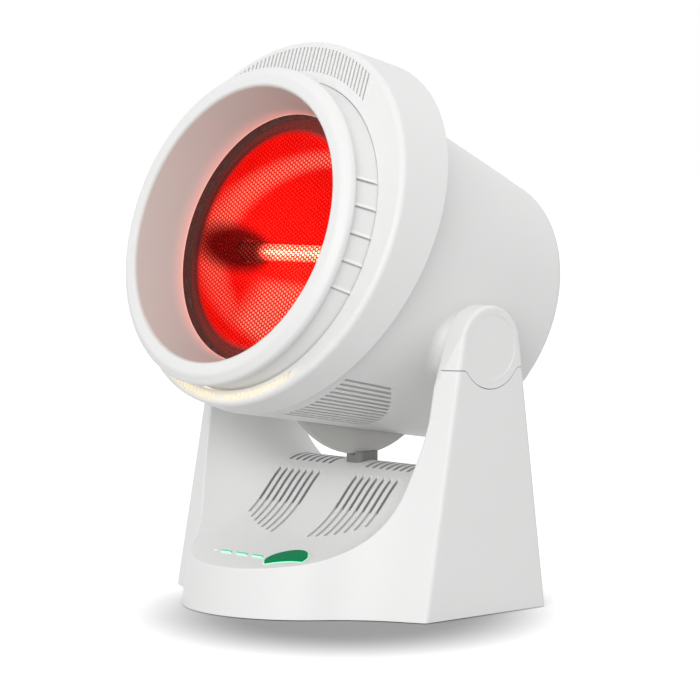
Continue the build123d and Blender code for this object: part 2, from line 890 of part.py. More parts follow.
# ================================================================ barrel and its pivot bosses
def spoke_plane(angle):
    """The plane through the head's axis at an angle from +X towards the top; X forward, Y outwards."""
    outwards = Vector(cos(radians(angle)), 0, 0) + head_up * sin(radians(angle))
    return Plane(origin=head_centre, x_dir=front_way, z_dir=front_way.cross(outwards))


def section(*points):
    """A closed outline of (distance, radius) points, in the plane for the head's round pieces."""
    with BuildSketch(HEAD_SECTION) as outline:
        with BuildLine():
            Polyline(*points, close=True)
        make_face()
    return outline.sketch


boss_face_x = arm_inner_x - boss_side_gap
BARREL_AXIS = Axis(head_centre + head_up * barrel_rise, front_way)


def on_boss(edge):
    """Whether an edge runs round a pivot boss, where it meets the barrel."""
    reaches = [hypot(spot.Y - pivot_y, spot.Z - pivot_z) for spot in (edge @ 0.2, edge @ 0.5, edge @ 0.8)]
    return all(abs(reach - boss_outer_radius) < 0.02 for reach in reaches)


def bosses(inner_x):
    """Both pivot bosses, from inner_x out to their faces."""
    with BuildPart() as pair:
        for side in (1, -1):
            with BuildSketch(side_plane(side * inner_x)):
                Circle(boss_outer_radius)
            extrude(amount=side * (boss_face_x - inner_x))
        outer_edges = pair.edges().filter_by(lambda edge: abs(edge.center().X) > boss_face_x - 0.1)
        fillet(outer_edges, radius=boss_edge_round)
    return pair.part


def collar_rear_at(up):
    """Distance of the collar's rear edge at a height above the axis: straight low down, bent above."""
    bend = max(0.0, up - collar_bend_from) ** 2 / (2 * collar_rear_bend)
    return collar_rear - collar_rear_tilt * up - bend


def behind_collar(gap):
    """The room behind the collar's rear edge, this far clear of it."""
    low, high, far = -2 * collar_radius, 2 * collar_radius, 3 * barrel_rear
    rises = [collar_bend_from + (high - collar_bend_from) * step / 8 for step in range(9)]
    bend = [(collar_rear_at(up) - gap, up) for up in rises]
    with BuildPart() as region:
        with BuildSketch(HEAD_SECTION):
            with BuildLine():
                Spline(*bend)
                Polyline(bend[-1], (far, high), (far, low), (collar_rear_at(low) - gap, low), bend[0])
            make_face()
        extrude(amount=2 * collar_radius, both=True)
    return region.part


def cone(inset, front, rear):
    """A stretch of the barrel's cone, moved inwards by inset."""
    profile = section(
        (front, barrel_rise),
        (front, barrel_rise + barrel_radius(front) - inset),
        (rear, barrel_rise + barrel_radius(rear) - inset),
        (rear, barrel_rise),
    )
    with BuildPart() as stretch:
        revolve(profile, axis=BARREL_AXIS)
    return stretch.part


def in_front_of_rear(depth):
    """The room in front of a plane inside the barrel's rear face."""
    with BuildPart() as room:
        with BuildSketch(rear_at(depth)):
            Circle(2 * collar_radius)
        extrude(amount=3 * collar_radius)
    return room.part


# the barrel's outer form, without its bosses
with BuildPart() as barrel_form:
    add(cone(0, collar_front, 1.4 * barrel_rear))
    add(in_front_of_rear(0), mode=Mode.INTERSECT)
    fillet(barrel_form.edges().sort_by(HEAD_AXIS)[0], radius=barrel_rear_round)
    add(behind_collar(seam_gap), mode=Mode.INTERSECT)

# the barrel's hollow leaves the bosses standing inside
inner_depth = cover_thickness + shell_wall
post_half = fan_screw_spacing / 2
post_places = [(x, y) for x in (-post_half, post_half) for y in (-post_half, post_half)]
with BuildPart() as barrel_hollow:
    add(cone(shell_wall, collar_front, 1.4 * barrel_rear))
    add(in_front_of_rear(inner_depth), mode=Mode.INTERSECT)
    add(behind_collar(seam_gap + shell_wall), mode=Mode.INTERSECT)
    add(bosses(boss_inner_half), mode=Mode.SUBTRACT)
    # through the rear face, with a ledge for the cover
    with BuildSketch(rear_at(-1.0)):
        Circle(cover_radius - ledge_width)
    extrude(amount=inner_depth + 2.0)
    with BuildSketch(rear_at(-1.0)):
        Circle(cover_radius + cover_gap)
    extrude(amount=cover_thickness + 1.0)
    # round the posts that carry the fan
    with BuildSketch(rear_at(cover_thickness)):
        with Locations(*post_places):
            Circle(fan_post_radius + cover_gap)
    extrude(amount=inner_depth)
    # through the neck in front
    with BuildSketch(face_at(barrel_seam - 4 * shell_wall)):
        Circle(neck_radius - shell_wall)
    extrude(amount=neck_front)

with BuildPart() as barrel_housing:
    add(barrel_form.part)
    add(bosses(boss_inner_half - boss_outer_radius))
    meeting_end = boss_face_x - 1.5 * boss_edge_round
    meeting = barrel_housing.edges().filter_by(on_boss)
    fillet(meeting.filter_by(lambda edge: abs(edge.center().X) < meeting_end), radius=boss_blend)
    # the neck that the collar sits round and the front ring is seated on
    with BuildSketch(face_at(barrel_seam - 2 * shell_wall)):
        Circle(neck_radius)
    extrude(amount=neck_front - barrel_seam + 2 * shell_wall)
    add(barrel_hollow.part, mode=Mode.SUBTRACT)
    with BuildSketch(side_plane(-boss_face_x - 1.0)):
        Circle(hub_radius + hub_hole_gap)
    extrude(amount=2 * boss_face_x + 2.0, mode=Mode.SUBTRACT)
    # screw bosses behind the cover's ledge
    with BuildSketch(rear_at(inner_depth)):
        with PolarLocations(cover_screw_circle, 4):
            Circle(boss_radius)
    extrude(amount=screw_bite - shell_wall)
    with BuildSketch(rear_at(0)):
        with PolarLocations(cover_screw_circle, 4):
            Circle(screw_radius + screw_hold_gap)
    extrude(amount=cover_thickness + screw_bite + screw_tip_gap, mode=Mode.SUBTRACT)
    # fine grooves on both flanks, each reaching a little less far back than the one before
    for number in range(groove_count):
        fade = max(0.0, 1 - number / groove_fade_count) ** groove_fade_power
        rear_end = groove_rear_end + groove_reach * fade
        middle = (rear_end + patch_groove_front) / 2
        right_angle = groove_first_angle - groove_angle_pitch * number
        for angle in (right_angle, 180 - right_angle):
            spoke = spoke_plane(angle)
            floor = barrel_radius(middle) + barrel_rise * sin(radians(angle)) - patch_groove_depth
            spot = spoke.from_local_coords(Vector(middle, floor, 0))
            along = spoke.x_dir + spoke.y_dir * barrel_taper
            with BuildSketch(Plane(origin=spot, x_dir=along, z_dir=along.cross(-spoke.z_dir))):
                SlotOverall(patch_groove_front - rear_end, patch_groove_width)
        extrude(amount=3 * patch_groove_depth, mode=Mode.SUBTRACT)
save(barrel_housing, "barrel_housing")

# ================================================================ front ring, glass and lamp
sleeve_outer = sleeve_radius + sleeve_wall
flange_rear = neck_front
flange_front = flange_rear + ring_flange
funnel_slope = (opening_radius - funnel_end_radius) / (ring_front - glass_seat)


def funnel_radius(distance):
    """Inner radius of the funnel in front of the glass."""
    return funnel_end_radius + funnel_slope * (distance - glass_seat)


with BuildPart() as front_ring:
    with BuildSketch(HEAD_SECTION):
        with BuildLine():
            FilletPolyline(
                (glass_seat, funnel_end_radius),
                (ring_front, opening_radius),
                (ring_front, lip_radius - lip_face_inset),
                (ring_front - lip_bevel, lip_radius),
                (ring_front - lip_depth, lip_radius),
                (rib_front + band_step, band_front_radius),
                (rib_rear, band_rear_radius),
                radius=ring_rounds,
            )
            Polyline(
                (rib_rear, band_rear_radius),
                (flange_front, band_rear_radius),
                (flange_front, ring_flange_radius),
                (flange_rear, ring_flange_radius),
                (flange_rear, band_rear_radius - shell_wall),
                (rib_rear, band_rear_radius - shell_wall),
                (rib_front - band_inner_step, band_front_radius - shell_wall),
                (rib_front - band_inner_step, funnel_radius(rib_front) + shell_wall),
                (glass_seat + funnel_foot, funnel_radius(glass_seat + funnel_foot) + shell_wall),
                (glass_seat + sleeve_shoulder, sleeve_outer),
                (sleeve_end, sleeve_outer),
                (sleeve_end, sleeve_radius),
                (glass_seat, sleeve_radius),
                (glass_seat, funnel_end_radius),
            )
        make_face()
    revolve(axis=HEAD_AXIS)
    # grip ribs on both sides of the band
    for number in range(rib_count):
        lean = rib_pitch * (number - (rib_count - 1) / 2)
        for angle in (lean, 180 - lean):
            with BuildSketch(spoke_plane(angle)):
                with BuildLine():
                    Polyline(
                        (rib_front, band_front_radius - rib_root),
                        (rib_front, band_front_radius + rib_front_height),
                        (rib_front - rib_root, band_front_radius + rib_height),
                        (rib_end, band_rear_radius + ring_opening_gap / 2),
                        (rib_end, band_rear_radius - rib_end_root),
                        close=True,
                    )
                make_face()
            extrude(amount=rib_width / 2, both=True)
save(front_ring, "front_ring")

glass_rear = glass_seat - glass_thickness
with BuildPart() as glass_plate:
    with BuildSketch(face_at(glass_rear)):
        Circle(glass_radius)
    extrude(amount=glass_thickness)
    chamfer(glass_plate.edges().filter_by(GeomType.CIRCLE), length=glass_edge_bevel)
save(glass_plate, "glass_plate")

gasket_rear = glass_rear - gasket_thickness
with BuildPart() as glass_gasket:
    with BuildSketch(face_at(gasket_rear)):
        Circle(glass_radius)
        Circle(glass_radius - gasket_width, mode=Mode.SUBTRACT)
    extrude(amount=gasket_thickness)
save(glass_gasket, "glass_gasket")

# the reflector: part of a sphere, with a flat flange clamped under the gasket
bowl_radius = (rim_radius**2 + (gasket_rear - bowl_back) ** 2) / (2 * (gasket_rear - bowl_back))
bowl_centre = bowl_back + bowl_radius


def bowl_at(distance, growth):
    """Radius of the bowl at a distance along the axis, on its inside or its outside."""
    return sqrt((bowl_radius + growth) ** 2 - (bowl_centre - distance) ** 2)


flange_back = gasket_rear - flange_thickness
with BuildPart() as reflector:
    with BuildSketch(HEAD_SECTION):
        with BuildLine():
            middle = (bowl_back + gasket_rear) / 2
            ThreePointArc((bowl_back, 0), (middle, bowl_at(middle, 0)), (gasket_rear, rim_radius))
            Polyline(
                (gasket_rear, rim_radius),
                (gasket_rear, glass_radius),
                (flange_back, glass_radius),
                (flange_back, bowl_at(flange_back, bowl_thickness)),
            )
            ThreePointArc(
                (flange_back, bowl_at(flange_back, bowl_thickness)),
                (middle, bowl_at(middle, bowl_thickness)),
                (bowl_back - bowl_thickness, 0),
            )
            Line((bowl_back - bowl_thickness, 0), (bowl_back, 0))
        make_face()
    revolve(axis=HEAD_AXIS)
    lamp_point = head_centre + front_way * lamp_s
    beside_bowl = lamp_point - Vector(bowl_radius, 0, 0)
    with BuildSketch(Plane(origin=beside_bowl, x_dir=(0, 1, 0), z_dir=(1, 0, 0))):
        Circle(lamp_hole_radius)
    extrude(amount=2 * bowl_radius, mode=Mode.SUBTRACT)
save(reflector, "reflector")

with BuildPart() as retaining_ring:
    with BuildSketch(face_at(flange_back - retainer_thickness)):
        Circle(glass_radius)
        Circle(bowl_at(flange_back, bowl_thickness) + retainer_gap, mode=Mode.SUBTRACT)
    extrude(amount=retainer_thickness)
save(retaining_ring, "retaining_ring")


def across_lamp(x):
    """The plane across the lamp tube at this X."""
    return Plane(origin=lamp_point + Vector(x, 0, 0), x_dir=front_way, z_dir=(1, 0, 0))


with BuildPart() as lamp_tube:
    with BuildSketch(across_lamp(-tube_half)):
        Circle(tube_radius)
        Circle(tube_radius - tube_wall, mode=Mode.SUBTRACT)
    extrude(amount=2 * tube_half)
save(lamp_tube, "lamp_tube")

with BuildPart() as lamp_element:
    with BuildSketch(across_lamp(-tube_half)):
        Circle(element_radius)
    extrude(amount=2 * tube_half)
save(lamp_element, "lamp_element")

with BuildPart() as lamp_caps:
    for side in (1, -1):
        with BuildSketch(across_lamp(side * cap_root)):
            Circle(cap_radius)
        extrude(amount=side * (cap_end - cap_root))
        with BuildSketch(across_lamp(side * cap_root)):
            Circle(tube_radius + seat_clearance)
        extrude(amount=side * cap_bore_depth, mode=Mode.SUBTRACT)
save(lamp_caps, "lamp_caps")

# ================================================================ heat shield
shield_inner = shield_radius - shield_thickness
with BuildPart() as lamp_holders:
    for side in (1, -1):
        with BuildSketch(across_lamp(side * holder_inner)):
            Rectangle(holder_depth, holder_height)
        extrude(amount=side * holder_block)
        with BuildSketch(across_lamp(side * (holder_inner + holder_block))):
            Rectangle(holder_strap, holder_height)
        extrude(amount=side * (shield_inner - holder_inner))
        with BuildSketch(across_lamp(side * holder_inner)):
            Circle(cap_radius + seat_clearance)
        extrude(amount=side * holder_block, mode=Mode.SUBTRACT)
    with BuildSketch(face_at(0)):
        Circle(shield_inner)
    extrude(amount=glass_seat, mode=Mode.INTERSECT)
save(lamp_holders, "lamp_holders")

with BuildPart() as heat_shield:
    profile = section(
        (sleeve_end, sleeve_radius),
        (sleeve_end, shield_radius),
        (shield_back, shield_radius),
        (shield_back, shield_hole),
        (shield_back + shield_thickness, shield_hole),
        (shield_back + shield_thickness, shield_inner),
        (sleeve_end - shield_thickness, shield_inner),
        (sleeve_end - shield_thickness, sleeve_radius),
    )
    revolve(profile, axis=HEAD_AXIS)
save(heat_shield, "heat_shield")

with BuildPart() as thermal_cutout:
    with BuildSketch(face_at(shield_back)):
        with Locations((0, shield_part_rise)):
            Circle(cutout_radius)
    extrude(amount=-cutout_depth)
save(thermal_cutout, "thermal_cutout")

with BuildPart() as terminal_block:
    with BuildSketch(face_at(shield_back)):
        with Locations((0, -shield_part_rise)):
            Rectangle(terminal_size[0], terminal_size[1])
    extrude(amount=-terminal_size[2])
save(terminal_block, "terminal_block")

# ================================================================ collar
def collar_side(inset):
    """The collar seen from the side, moved inwards by inset in front and behind."""
    low, high = -1.2 * collar_radius, collar_rise + 1.2 * collar_radius
    rises = [collar_bend_from + (high - collar_bend_from) * step / 6 for step in range(7)]
    bend = [(collar_rear_at(up) + inset, up) for up in rises]
    with BuildSketch(HEAD_SECTION) as side_view:
        with BuildLine():
            Spline(*bend)
            Polyline(
                bend[-1],
                (collar_front - inset - collar_front_tilt * high, high),
                (collar_front - inset - collar_front_tilt * low, low),
                (collar_rear_at(low) + inset, low),
                bend[0],
            )
        make_face()
    return side_view.sketch


def collar_drum(inset):
    """The collar's flared form, a little above the head's axis, cut to its side view."""
    profile = section(
        (0, collar_rise),
        (2 * collar_front, collar_rise),
        (2 * collar_front, collar_rise + collar_radius - inset - collar_flare * collar_front),
        (0, collar_rise + collar_radius - inset + collar_flare * collar_front),
    )
    with BuildPart() as drum:
        revolve(profile, axis=Axis(head_centre + head_up * collar_rise, front_way))
        extrude(collar_side(inset), amount=2 * collar_radius, both=True, mode=Mode.INTERSECT)
        if inset == 0:
            fillet(drum.edges().group_by(HEAD_AXIS)[-1], radius=collar_round)
    return drum.part


with BuildPart() as collar:
    add(collar_drum(0))
    add(collar_drum(shell_wall), mode=Mode.SUBTRACT)
    # bore that sits round the barrel's neck, and the opening round the front ring
    with BuildSketch(face_at(0)):
        Circle(neck_radius + collar_bore_gap)
    extrude(amount=neck_front, mode=Mode.SUBTRACT)
    with BuildSketch(face_at(neck_front - 1.0)):
        Circle(band_rear_radius + ring_opening_gap)
    extrude(amount=collar_front, mode=Mode.SUBTRACT)
    # upright slots along the top of the front face
    with BuildSketch(face_at(neck_front)):
        with GridLocations(vent_pitch, 1, vent_count, 1):
            Rectangle(vent_width, 3 * collar_radius)
        with Locations((0, collar_rise)):
            Circle(vent_outer_radius, mode=Mode.INTERSECT)
        Circle(vent_inner_radius, mode=Mode.SUBTRACT)
        with Locations((0, -collar_radius)):
            Rectangle(3 * collar_radius, 2 * collar_radius, mode=Mode.SUBTRACT)
    extrude(amount=collar_front, mode=Mode.SUBTRACT)
    # two groups of slots along the bottom
    low_vent_middle = low_vent_first_x + low_vent_pitch * (low_vent_count - 1) / 2
    with BuildSketch(face_at(neck_front)):
        for side in (1, -1):
            with Locations((side * low_vent_middle, 0)):
                with GridLocations(low_vent_pitch, 1, low_vent_count, 1):
                    Rectangle(low_vent_width, 3 * collar_radius)
        Circle(low_vent_outer_radius, mode=Mode.INTERSECT)
        Circle(low_vent_inner_radius, mode=Mode.SUBTRACT)
        with Locations((0, collar_radius)):
            Rectangle(3 * collar_radius, 2 * collar_radius, mode=Mode.SUBTRACT)
    extrude(amount=collar_front, mode=Mode.SUBTRACT)
save(collar, "collar")

# ================================================================ rear cover
fan_rear = cover_thickness + fan_post_height
fan_front = fan_rear + fan_depth
FAN_AXIS = Axis(rear_at(0).origin, rear_at(0).z_dir)
with BuildPart() as rear_cover:
    with BuildSketch(rear_at(0)):
        Circle(cover_radius)
    extrude(amount=cover_thickness)
    fillet(rear_cover.edges().sort_by(FAN_AXIS)[0], radius=cover_edge_round)
    with BuildSketch(rear_at(cover_thickness)):
        with Locations(*post_places):
            Circle(fan_post_radius)
    extrude(amount=fan_post_height)
    with BuildSketch(rear_at(cover_thickness)):
        with Locations(*post_places):
            Circle(fan_screw_radius + screw_hold_gap)
    extrude(amount=fan_post_height, mode=Mode.SUBTRACT)
    for number in range(cover_slot_count):
        height = cover_slot_pitch * (number - (cover_slot_count - 1) / 2)
        reach = sqrt(cover_slot_reach**2 - height**2)
        with BuildSketch(rear_at(0)):
            with Locations((0, height)):
                SlotOverall(2 * reach, cover_slot_width)
    extrude(amount=cover_thickness, mode=Mode.SUBTRACT)
    with BuildSketch(rear_at(0)):
        with PolarLocations(cover_screw_circle, 4):
            Circle(screw_radius + screw_pass_gap)
    extrude(amount=cover_thickness, mode=Mode.SUBTRACT)
save(rear_cover, "rear_cover")

with BuildPart() as cover_screws:
    turns = [radians(90 * number) for number in range(4)]
    spots = [(cover_screw_circle * cos(turn), cover_screw_circle * sin(turn)) for turn in turns]
    places = [rear_at(0).location * Location((x, y, 0)) for x, y in spots]
    add(screw_set(places, cover_thickness + screw_bite))
save(cover_screws, "cover_screws")

# ================================================================ cooling fan
with BuildPart() as fan_frame:
    for start in (fan_rear, fan_front - fan_flange):
        with BuildSketch(rear_at(start)):
            RectangleRounded(fan_size, fan_size, fan_corner)
            with Locations(*post_places):
                Circle(fan_screw_radius + fan_screw_pass_gap, mode=Mode.SUBTRACT)
        extrude(amount=fan_flange)
    with BuildSketch(rear_at(fan_rear)):
        Circle(fan_duct_radius + fan_duct_wall)
    extrude(amount=fan_depth)
    with BuildSketch(rear_at(fan_rear)):
        Circle(fan_duct_radius)
    extrude(amount=fan_depth, mode=Mode.SUBTRACT)
    with BuildSketch(rear_at(fan_rear)):
        with PolarLocations(fan_duct_radius / 2, 4, start_angle=fan_strut_angle):
            Rectangle(fan_duct_radius + fan_duct_wall, fan_strut_width)
        Circle(fan_hub_radius)
    extrude(amount=fan_mount_thickness)
save(fan_frame, "fan_frame")

mount_front = fan_rear + fan_mount_thickness
with BuildPart() as fan_motor:
    with BuildSketch(rear_at(mount_front)):
        Circle(stator_radius)
        Circle(fan_shaft_radius + fan_shaft_clearance, mode=Mode.SUBTRACT)
    extrude(amount=stator_depth)
save(fan_motor, "fan_motor")

rotor_rear = mount_front + fan_face_gap
rotor_front = fan_front - fan_front_gap
with BuildPart() as fan_rotor:
    with Locations(rear_at((rotor_rear + rotor_front) / 2).location):
        with PolarLocations(0, fan_blades):
            Box(
                fan_tip_radius + 2.0,
                fan_blade_chord,
                fan_blade_thickness,
                rotation=(fan_blade_pitch, 0, 0),
                align=(Align.MIN, Align.CENTER, Align.CENTER),
            )
    with BuildSketch(rear_at(rotor_rear)):
        Circle(fan_tip_radius)
        Circle(fan_hub_radius - fan_hub_wall / 2, mode=Mode.SUBTRACT)
    extrude(amount=rotor_front - rotor_rear, mode=Mode.INTERSECT)
    with BuildSketch(rear_at(rotor_rear)):
        Circle(fan_hub_radius)
    extrude(amount=rotor_front - rotor_rear)
    with BuildSketch(rear_at(rotor_rear)):
        Circle(fan_hub_radius - fan_hub_wall)
    extrude(amount=rotor_front - rotor_rear - fan_hub_wall, mode=Mode.SUBTRACT)
    with BuildSketch(rear_at(rotor_rear)):
        Circle(fan_shaft_radius)
    extrude(amount=rotor_front - rotor_rear)
save(fan_rotor, "fan_rotor")

with BuildPart() as fan_screws:
    facing_back = Plane(origin=rear_at(fan_front).origin, x_dir=(1, 0, 0), z_dir=-rear_at(0).z_dir)
    places = [facing_back.location * Location((x, y, 0)) for x, y in post_places]
    add(screw_set(places, fan_depth + fan_post_height - fan_screw_end, radius=fan_screw_radius))
save(fan_screws, "fan_screws")

# ================================================================ guide fin and pivots
with BuildPart() as guide_fin:
    with BuildSketch(side_plane(-fin_thickness / 2)):
        Circle(fin_radius)
    extrude(amount=fin_thickness)
    chamfer(guide_fin.edges().filter_by(GeomType.CIRCLE), length=fin_bevel)
    # only what shows below the barrel is kept
    add(barrel_form.part, mode=Mode.SUBTRACT)
    with BuildSketch(Plane.XY.offset(pivot_z - 2 * fin_radius)):
        with Locations((0, pivot_y)):
            Rectangle(4 * fin_thickness, 4 * fin_radius)
    extrude(amount=2 * fin_radius - dome_radius, mode=Mode.INTERSECT)
save(guide_fin, "guide_fin")

for side, label in ((1, "right_pivot_hub"), (-1, "left_pivot_hub")):
    with BuildPart() as pivot_hub:
        with BuildSketch(side_plane(side * (boss_inner_half - hub_flange))):
            Circle(hub_flange_radius)
        extrude(amount=side * hub_flange)
        with BuildSketch(side_plane(side * boss_inner_half)):
            Circle(hub_radius)
        extrude(amount=side * (hub_end - boss_inner_half))
        with BuildSketch(side_plane(side * (boss_inner_half - hub_flange))):
            Circle(hub_bore)
        extrude(amount=side * (hub_end - boss_inner_half + hub_flange), mode=Mode.SUBTRACT)
    save(pivot_hub, label)

bush_face_x = bracket_x + bracket_thickness
with BuildPart() as pivot_bushes:
    for side in (1, -1):
        with BuildSketch(side_plane(side * bracket_x)):
            Circle(bush_radius)
        extrude(amount=side * (bracket_thickness + bush_flange))
        with BuildSketch(side_plane(side * bush_face_x)):
            Circle(bush_flange_radius)
        extrude(amount=side * bush_flange)
        with BuildSketch(side_plane(side * bracket_x)):
            Circle(hub_radius + bush_clearance)
        extrude(amount=side * (bracket_thickness + bush_flange), mode=Mode.SUBTRACT)
save(pivot_bushes, "pivot_bushes")

washer_x = bush_face_x + bush_flange + washer_gap
with BuildPart() as friction_washers:
    for side in (1, -1):
        with BuildSketch(side_plane(side * washer_x)):
            Circle(hub_flange_radius)
            Circle(hub_radius + seat_clearance, mode=Mode.SUBTRACT)
        extrude(amount=side * washer_thickness)
save(friction_washers, "friction_washers")

with BuildPart() as pivot_rings:
    for side in (1, -1):
        with BuildSketch(side_plane(side * (washer_x + washer_thickness))):
            Circle(hub_flange_radius)
            Circle(hub_radius + seat_clearance, mode=Mode.SUBTRACT)
        extrude(amount=side * pivot_ring_thickness)
save(pivot_rings, "pivot_rings")
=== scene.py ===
"""Infrared heat therapy lamp: finishes, small added pieces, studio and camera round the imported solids.

Metres, +Z up, the glass and the controls towards -Y, as in the solids.
"""

import json
import logging
import math
from dataclasses import dataclass
from enum import Enum
from functools import cache

import bmesh
import bpy
from mathutils import Matrix, Vector

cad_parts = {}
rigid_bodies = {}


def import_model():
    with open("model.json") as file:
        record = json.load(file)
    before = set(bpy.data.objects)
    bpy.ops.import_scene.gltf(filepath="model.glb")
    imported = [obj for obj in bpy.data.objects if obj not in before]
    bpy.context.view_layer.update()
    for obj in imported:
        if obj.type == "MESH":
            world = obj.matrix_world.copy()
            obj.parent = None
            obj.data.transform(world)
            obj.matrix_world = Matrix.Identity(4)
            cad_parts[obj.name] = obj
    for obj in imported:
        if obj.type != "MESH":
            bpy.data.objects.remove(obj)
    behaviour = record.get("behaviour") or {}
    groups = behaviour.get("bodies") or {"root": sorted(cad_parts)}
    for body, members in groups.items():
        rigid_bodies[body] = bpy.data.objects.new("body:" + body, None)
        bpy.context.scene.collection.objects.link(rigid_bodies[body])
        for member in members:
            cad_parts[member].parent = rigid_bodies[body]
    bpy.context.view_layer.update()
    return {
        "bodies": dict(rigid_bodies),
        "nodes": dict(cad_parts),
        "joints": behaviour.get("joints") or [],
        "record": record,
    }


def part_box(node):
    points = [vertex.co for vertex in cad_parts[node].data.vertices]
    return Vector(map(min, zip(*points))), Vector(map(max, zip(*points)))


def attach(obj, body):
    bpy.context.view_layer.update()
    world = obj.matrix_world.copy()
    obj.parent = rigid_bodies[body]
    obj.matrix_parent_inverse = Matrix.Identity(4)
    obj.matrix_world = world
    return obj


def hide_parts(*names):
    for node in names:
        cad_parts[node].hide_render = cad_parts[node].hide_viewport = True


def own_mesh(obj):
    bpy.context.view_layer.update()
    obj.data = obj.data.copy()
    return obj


log = logging.getLogger("heat_lamp")
Colour = tuple[float, float, float, float]
Place = tuple[float, float, float]
Material = bpy.types.Material
Node = bpy.types.Node
NodeTree = bpy.types.NodeTree
Socket = bpy.types.NodeSocket
Source = Socket | float | tuple
# a soft edge: where its effect is nought, then where it is full
Edge = tuple[float, float]

# the head: its tilt at rest, its axis above the tilt pivot, the glass on that axis and the funnel round it
HEAD_TILT = math.radians(17.1)
AXIS_LIFT = 0.0339
GLASS_FRONT = 0.0789
FUNNEL_REAR_RADIUS = 0.067

# the button: its middle, from the tilt pivot, and how far it goes down
BUTTON_PLACE = (0.0295, -0.079)

# the button's outline round its middle: its corners, and points that its arcs pass through
LEAF = {
    "tip": (-0.0070, -0.0105),
    "far_side": (-0.0116, 0.0020),
    "rear": (-0.0015, 0.0102),
    "rear_bend": (0.0065, 0.0074),
    "shoulder": (0.0106, 0.0012),
    "notch": (0.0115, -0.0012),
    "near_side": (0.0013, -0.0036),
}
ARC_STEPS = 24
BEND_STEPS = 16
MITRE_LIMIT = 0.5


class Body(Enum):
    """The rigid bodies that pieces ride on."""

    BASE = "base"
    BUTTON = "button"
    HEAD = "head"
    FAN = "fan"


def rgb(red: float, green: float, blue: float) -> Colour:
    """A colour with full alpha."""
    return (red, green, blue, 1.0)


def dimmed(colour: Colour, share: float) -> Colour:
    """A colour with its channels cut down to a share."""
    return rgb(*(share * channel for channel in colour[:3]))


BLACK = rgb(0.0, 0.0, 0.0)
WHITE = rgb(1.0, 1.0, 1.0)


